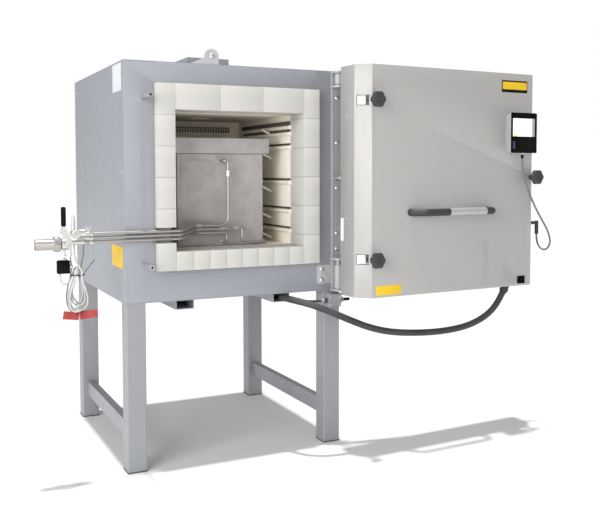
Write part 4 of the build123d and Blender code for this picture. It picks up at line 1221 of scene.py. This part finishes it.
@dataclass
class AnnealingBox:
    """Gas-tight box with its trough, lid and gas tubes."""

    body_edge: float = 0.001
    lid_edge: float = 0.0015
    foot: Corners = ((-0.202, -0.2995, 0.7952), (0.168, -0.2902, 0.7986))
    # Corners of a thin dark strip under the lid's skirt: painted shade for the gap there.
    gap_shade: Corners = ((-0.198, -0.2928, 1.1462), (0.155, -0.2898, 1.1506))
    boss: Point = (-0.025, -0.2965, 1.120)

    def build(self) -> None:
        """Finish the box, the lid and the tubes."""
        refine(FIRED, "annealing_box", self.body_edge, "box_body")
        refine(FIRED, "box_lid", self.lid_edge, "box_lid")
        paint(TUBE, "gas_tubes")
        fit(bevel(cube("box_foot", *self.foot), 0.0008), "annealing_box", FIRED)
        # Painted shade: a dark strip where the lid's skirt casts its shadow on the box.
        fit(cube("lid_gap_shade_strip", *self.gap_shade), "annealing_box", LID_GAP_SHADE)
        deselect()
        bpy.ops.mesh.primitive_torus_add(
            major_radius=0.0155, minor_radius=0.0034, major_segments=48, minor_segments=14
        )
        ring = bake_place(bpy.context.object, on_front(*self.boss))
        ring.name = "boss_ring"
        fit(smooth(ring), "annealing_box", FIRED)
        union = [(0, 0.0064), (0.0015, 0.0082), (0.009, 0.0082), (0.0105, 0.0066)]
        union += [(0.0125, 0.0066), (0.014, 0.0082), (0.0215, 0.0082), (0.023, 0.0064)]
        nut = turned("tube_union", union, 6)
        runs = ((-0.139, 0.874), (-0.044, 0.860), (0.012, 0.860))
        places = [along_x(x, -0.329, height) for x, height in runs]
        places.append(at(-0.007, -0.329, 1.060))
        fit(repeated("tube_unions", nut, places), "annealing_box", NICKEL)


@dataclass
class Fittings:
    """Valves and couplings at the outer end of the gas tubes."""

    row: float = -0.437
    tube_rows: Row = (0.838, 0.852, 0.866)
    drains: Pair = (-0.646, -0.626)

    def build(self) -> None:
        """Finish the valves, the plug and their levers."""
        paint(NICKEL, "round_fitting", "ball_valve")
        refine(TUBE, "annealing_box", 0.0008, "large_pipe")
        paint(NICKEL, "valve_lever", "tap_wing")
        fit(softened("lever_grip", 0.0025, 3), "valve_lever", BLACK)
        refine(BLACK, "annealing_box", 0.0012, "sensor_plug")
        front, back = self.row - 0.0043, self.row + 0.0043
        cap = cube("plug_cap", (-0.6613, front, 0.7788), (-0.6367, back, 0.7873))
        steps = [(0, 0.0068), (0.003, 0.0074), (0.007, 0.0074), (0.0103, 0.0068)]
        collar = bake_place(turned("plug_collar", steps, 24), along_x(-0.628, self.row, 0.7565))
        fit(joined("plug_metal", [bevel(cap, 0.0008), collar]), "annealing_box", NICKEL)
        steps = [(0, 0.0066), (0.001, 0.0078), (0.0105, 0.0078), (0.012, 0.0066)]
        places = [along_x(-0.559, self.row, height) for height in self.tube_rows]
        fit(repeated("tube_nuts", turned("tube_nut", steps, 6), places), "annealing_box", NICKEL)
        steps = [(0, 0.0072), (0.003, 0.0072), (0.0045, 0.0058), (0.0045, 0.003), (0.002, 0.0028)]
        screw = bake_place(turned("lever_screw", steps, 6), on_front(-0.636, -0.4729, 0.834))
        fit(screw, "valve_lever", ZINC)
        steps = [(0, 0.0056), (0.001, 0.0064), (0.016, 0.0064), (0.0175, 0.0052)]
        stem = bake_place(turned("stem_knurl", steps, 18), at(-0.614, self.row, 0.896))
        fit(stem, "annealing_box", NICKEL)
        wing = bevel(cube("drain_wing", (-0.0085, -0.0018, 0), (0.0085, 0.0018, 0.006)), 0.0014)
        places = [at(x, self.row, 0.7925) for x in self.drains]
        fit(repeated("drain_wings", wing, places), "annealing_box", NICKEL)


@dataclass
class Cords:
    """Every conduit and cable of the furnace."""

    tie: Point = (-0.601, -0.437, 0.727)
    strand: float = 0.003
    pitch: float = 0.0068
    rights: Row = (0.030, 0.022, 0.027, 0.017, 0.025, 0.020)
    lefts: Row = (0.031, 0.024, 0.029, 0.019, 0.031, 0.022)
    lows: Row = (0.604, 0.620, 0.610, 0.631, 0.607, 0.624)
    leans: Row = (-0.014, -0.004, -0.010, 0.001, -0.016, -0.006)
    main: Route = (
        (0.191, -0.3825, 0.5905), (0.191, -0.4240, 0.5905), (0.205, -0.4780, 0.5885),
        (0.236, -0.5260, 0.5805), (0.280, -0.5580, 0.5635), (0.336, -0.5720, 0.5385),
        (0.402, -0.5730, 0.5085), (0.480, -0.5710, 0.4765), (0.572, -0.5680, 0.4515),
        (0.692, -0.5650, 0.4365), (0.831, -0.5640, 0.4315), (0.955, -0.5640, 0.4435),
        (1.050, -0.5640, 0.4785), (1.10707, -0.56345, 0.52765), (1.13207, -0.56345, 0.57095),
    )
    controller: Route = (
        (0.712, -0.030, 1.145), (0.712, -0.030, 1.110), (0.721, -0.030, 1.065),
        (0.741, -0.030, 1.010), (0.772, -0.030, 0.952), (0.808, -0.030, 0.898),
        (0.843, -0.030, 0.852), (0.866, -0.030, 0.816), (0.877, -0.028, 0.776),
        (0.881, -0.002, 0.746), (0.884, 0.034, 0.746), (0.884, 0.060, 0.776),
        (0.884, 0.060, 0.810),
    )
    switch: Route = (
        (0.336, -0.4385, 0.572), (0.304, -0.4385, 0.572), (0.279, -0.4270, 0.573),
        (0.259, -0.4050, 0.576), (0.243, -0.3780, 0.580), (0.231, -0.3565, 0.584),
    )
    near_lead: Route = (
        (-0.612, 0, 0.8297), (-0.612, 0, 0.800), (-0.609, -0.010, 0.775),
    )
    plug_loop: Route = (
        (-0.621, 0.010, 0.722), (-0.634, -0.004, 0.698), (-0.652, -0.002, 0.697),
        (-0.660, 0, 0.712), (-0.660, 0, 0.734),
    )
    far_lead: Route = (
        (-0.580, 0, 0.8297), (-0.580, 0, 0.803), (-0.586, 0.006, 0.768),
        (-0.591, 0.010, 0.730), (-0.575, 0.012, 0.690), (-0.562, 0.014, 0.645),
        (-0.572, 0.014, 0.606), (-0.601, 0.012, 0.590), (-0.630, 0.012, 0.606),
        (-0.640, 0.010, 0.645), (-0.634, 0.008, 0.690), (-0.622, 0.005, 0.735),
        (-0.622, 0.002, 0.770), (-0.626, 0, 0.792),
    )

    def hank(self) -> list[Point]:
        """Return the hank's control points: long loops, tied near their top."""
        points: list[Point] = []
        x, y, z = self.tie
        loops = list(zip(self.rights, self.lefts, self.lows, self.leans))
        for turn, (right, left, low, lean) in enumerate(loops):
            drop = z - low
            shape = (
                (0.0125, z + 0.012),
                (0.0085, z),
                (right * 0.5, z - drop * 0.22),
                (right * 0.9, z - drop * 0.5),
                (right, z - drop * 0.74),
                (right * 0.72, z - drop * 0.93),
                (lean, low - 0.003),
                (lean - left * 0.45, z - drop * 0.93),
                (-left * 0.98, z - drop * 0.76),
                (-left, z - drop * 0.52),
                (-left * 0.52, z - drop * 0.22),
                (-0.0085, z),
                (-0.0125, z + 0.012),
                (0, z + 0.029),
            )
            for step, (across, height) in enumerate(shape):
                back = (turn + step / len(shape) - len(loops) / 2) * self.pitch
                points.append((x + across, y + back, height))
        return points

    def tags(self) -> None:
        """Tie the hank and hang two bare tags of red film from it."""
        x, y, z = self.tie
        deselect()
        bpy.ops.mesh.primitive_torus_add(
            major_radius=0.0215, minor_radius=0.0016, major_segments=40, minor_segments=8
        )
        band = bpy.context.object
        band.scale = (0.78, 1.16, 2.0)
        band = bake_place(band, at(x, y, z))
        tail = cube("tie_tail", (0, -0.0018, -0.0006), (0.066, 0.0018, 0.0006))
        slope = Matrix.Rotation(radians(-52), 4, "Y")
        tail = bake_place(tail, at(x + 0.014, y - 0.014, z) @ slope)
        fit(smooth(joined("cable_tie", [band, tail])), "annealing_box", BLACK)
        sheets = (("left_tag", -0.055, 0.0, 9), ("right_tag", 0.006, 0.067, -7))
        for name, low, high, lean in sheets:
            tag = cube(name, (low, -0.0003, 0), (high, 0.0003, 0.028))
            with editing():
                bpy.ops.mesh.subdivide(number_cuts=7)
            for vertex in tag.data.vertices:
                vertex.co.y += 0.0035 * sin(vertex.co.x * 90 + lean)
            place = at(x, y - 0.004, 0.571) @ Matrix.Rotation(radians(lean), 4, "Y")
            fit(smooth(bake_place(tag, place)), "annealing_box", TAG_FILM)
        string = turned("tag_string", [(0, 0.0007), (0.038, 0.0007)], 8)
        strings = [at(x + shift, y - 0.004, 0.585) for shift in (-0.006, 0.012)]
        fit(repeated("tag_strings", string, strings), "annealing_box", BLACK)

    def beside(self, route: Route) -> list[Point]:
        """Return a route whose depths are counted from the tie's."""
        return [(x, self.tie[1] + back, z) for x, back, z in route]

    def build(self) -> None:
        """Lay the conduits, the controller's cable and the sensor's hank."""
        stiff, limp = Stiffness.STIFF, Stiffness.LIMP
        panel = [door_point(*point) for point in self.controller]
        loops = [*self.beside(self.near_lead), *self.hank(), *self.beside(self.plug_loop)]
        slack = self.beside(self.far_lead)
        box, coiled = "annealing_box", Lay.COILED
        for cord in (
            Cord(
                "main_conduit_run",
                "furnace",
                ("main_conduit",),
                self.main,
                0.013,
                CONDUIT,
                stiffness=stiff,
                rib=0.006,
            ),
            Cord("controller_cable_run", "door", ("controller_cable",), panel, 0.004, DARK_SHEATH),
            Cord("switch_conduit_run", "furnace", ("switch_conduit",), self.switch, 0.005, CONDUIT),
            Cord(
                "sensor_cable_run",
                box,
                ("sensor_cable", "cable_hank"),
                loops,
                self.strand,
                SHEATH,
                stiffness=limp,
                lay=coiled,
            ),
            Cord("earth_lead_run", box, (), slack, 0.0022, DARK_SHEATH, stiffness=limp),
        ):
            cord.make()
        self.tags()


@dataclass
class Studio:
    """Pale floor, soft light and the camera."""

    eye: Point = (-1.1629, -3.2816, 1.0760)
    heading: float = 25.728
    pitch: float = 2.763
    roll: float = 0.132
    lens: float = 49.53
    lamps: tuple[tuple[str, Point, float, float], ...] = (
        ("key", (-4.0, -3.2, 2.1), 3.0, 205.0),
        ("front", (-1.0, -4.4, 1.7), 1.6, 24.0),
    )
    sky: float = 0.45
    noon: float = 3.3
    target: Point = (0.2, -0.3, 0.8)
    sun_width: float = 2.5
    floor_size: float = 60
    sensor: float = 36
    shift: Pair = (0.0151, -0.0817)
    sight: float = 100

    def build(self) -> None:
        """Add the floor, the lamps, the sky and the camera."""
        deselect()
        bpy.ops.mesh.primitive_plane_add(size=self.floor_size, location=(0, 0, 0))
        floor = bpy.context.object
        floor.name = "floor"
        dress(floor, PALE_FLOOR)
        for name, place, size, power in self.lamps:
            lamp = bpy.data.lights.new(name, "AREA")
            lamp.size = size
            lamp.energy = power
            holder = placed(name, lamp)
            holder.location = place
            aim = Vector(self.target) - Vector(place)
            holder.rotation_euler = aim.to_track_quat("-Z", "Y").to_euler()
        sun = bpy.data.lights.new("noon", "SUN")
        sun.energy = self.noon
        sun.angle = radians(self.sun_width)
        placed("noon", sun)
        world = bpy.data.worlds.new("sky")
        world.use_nodes = True
        nodes, links = world.node_tree.nodes, world.node_tree.links
        path = nodes.new("ShaderNodeLightPath")
        level = nodes.new("ShaderNodeMapRange")
        level.inputs["To Min"].default_value = self.sky
        level.inputs["To Max"].default_value = 1.0
        links.new(path.outputs["Is Camera Ray"], level.inputs["Value"])
        links.new(level.outputs["Result"], nodes["Background"].inputs["Strength"])
        nodes["Background"].inputs["Color"].default_value = (1, 1, 1, 1)
        bpy.context.scene.world = world
        bpy.context.scene.view_settings.view_transform = "Standard"
        camera = bpy.data.cameras.new("camera")
        camera.lens = self.lens
        camera.sensor_width = self.sensor
        camera.shift_x, camera.shift_y = self.shift
        camera.clip_end = self.sight
        stand = placed("camera", camera)
        stand.matrix_world = (
            Matrix.Translation(self.eye)
            @ Matrix.Rotation(radians(-self.heading), 4, "Z")
            @ Matrix.Rotation(radians(90 - self.pitch), 4, "X")
            @ Matrix.Rotation(radians(-self.roll), 4, "Z")
        )
        bpy.context.scene.camera = stand


def main() -> None:
    """Build every sub-assembly in order."""
    for part in (
        Studio(),
        Stand(),
        Casing(),
        Lining(),
        Roof(),
        Arms(),
        Door(),
        Controller(),
        DoorSwitch(),
        AnnealingBox(),
        Fittings(),
        Cords(),
    ):
        log.info("building %s", type(part).__name__)
        part.build()
    deselect()
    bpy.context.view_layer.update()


if __name__ == "__main__":
    main()
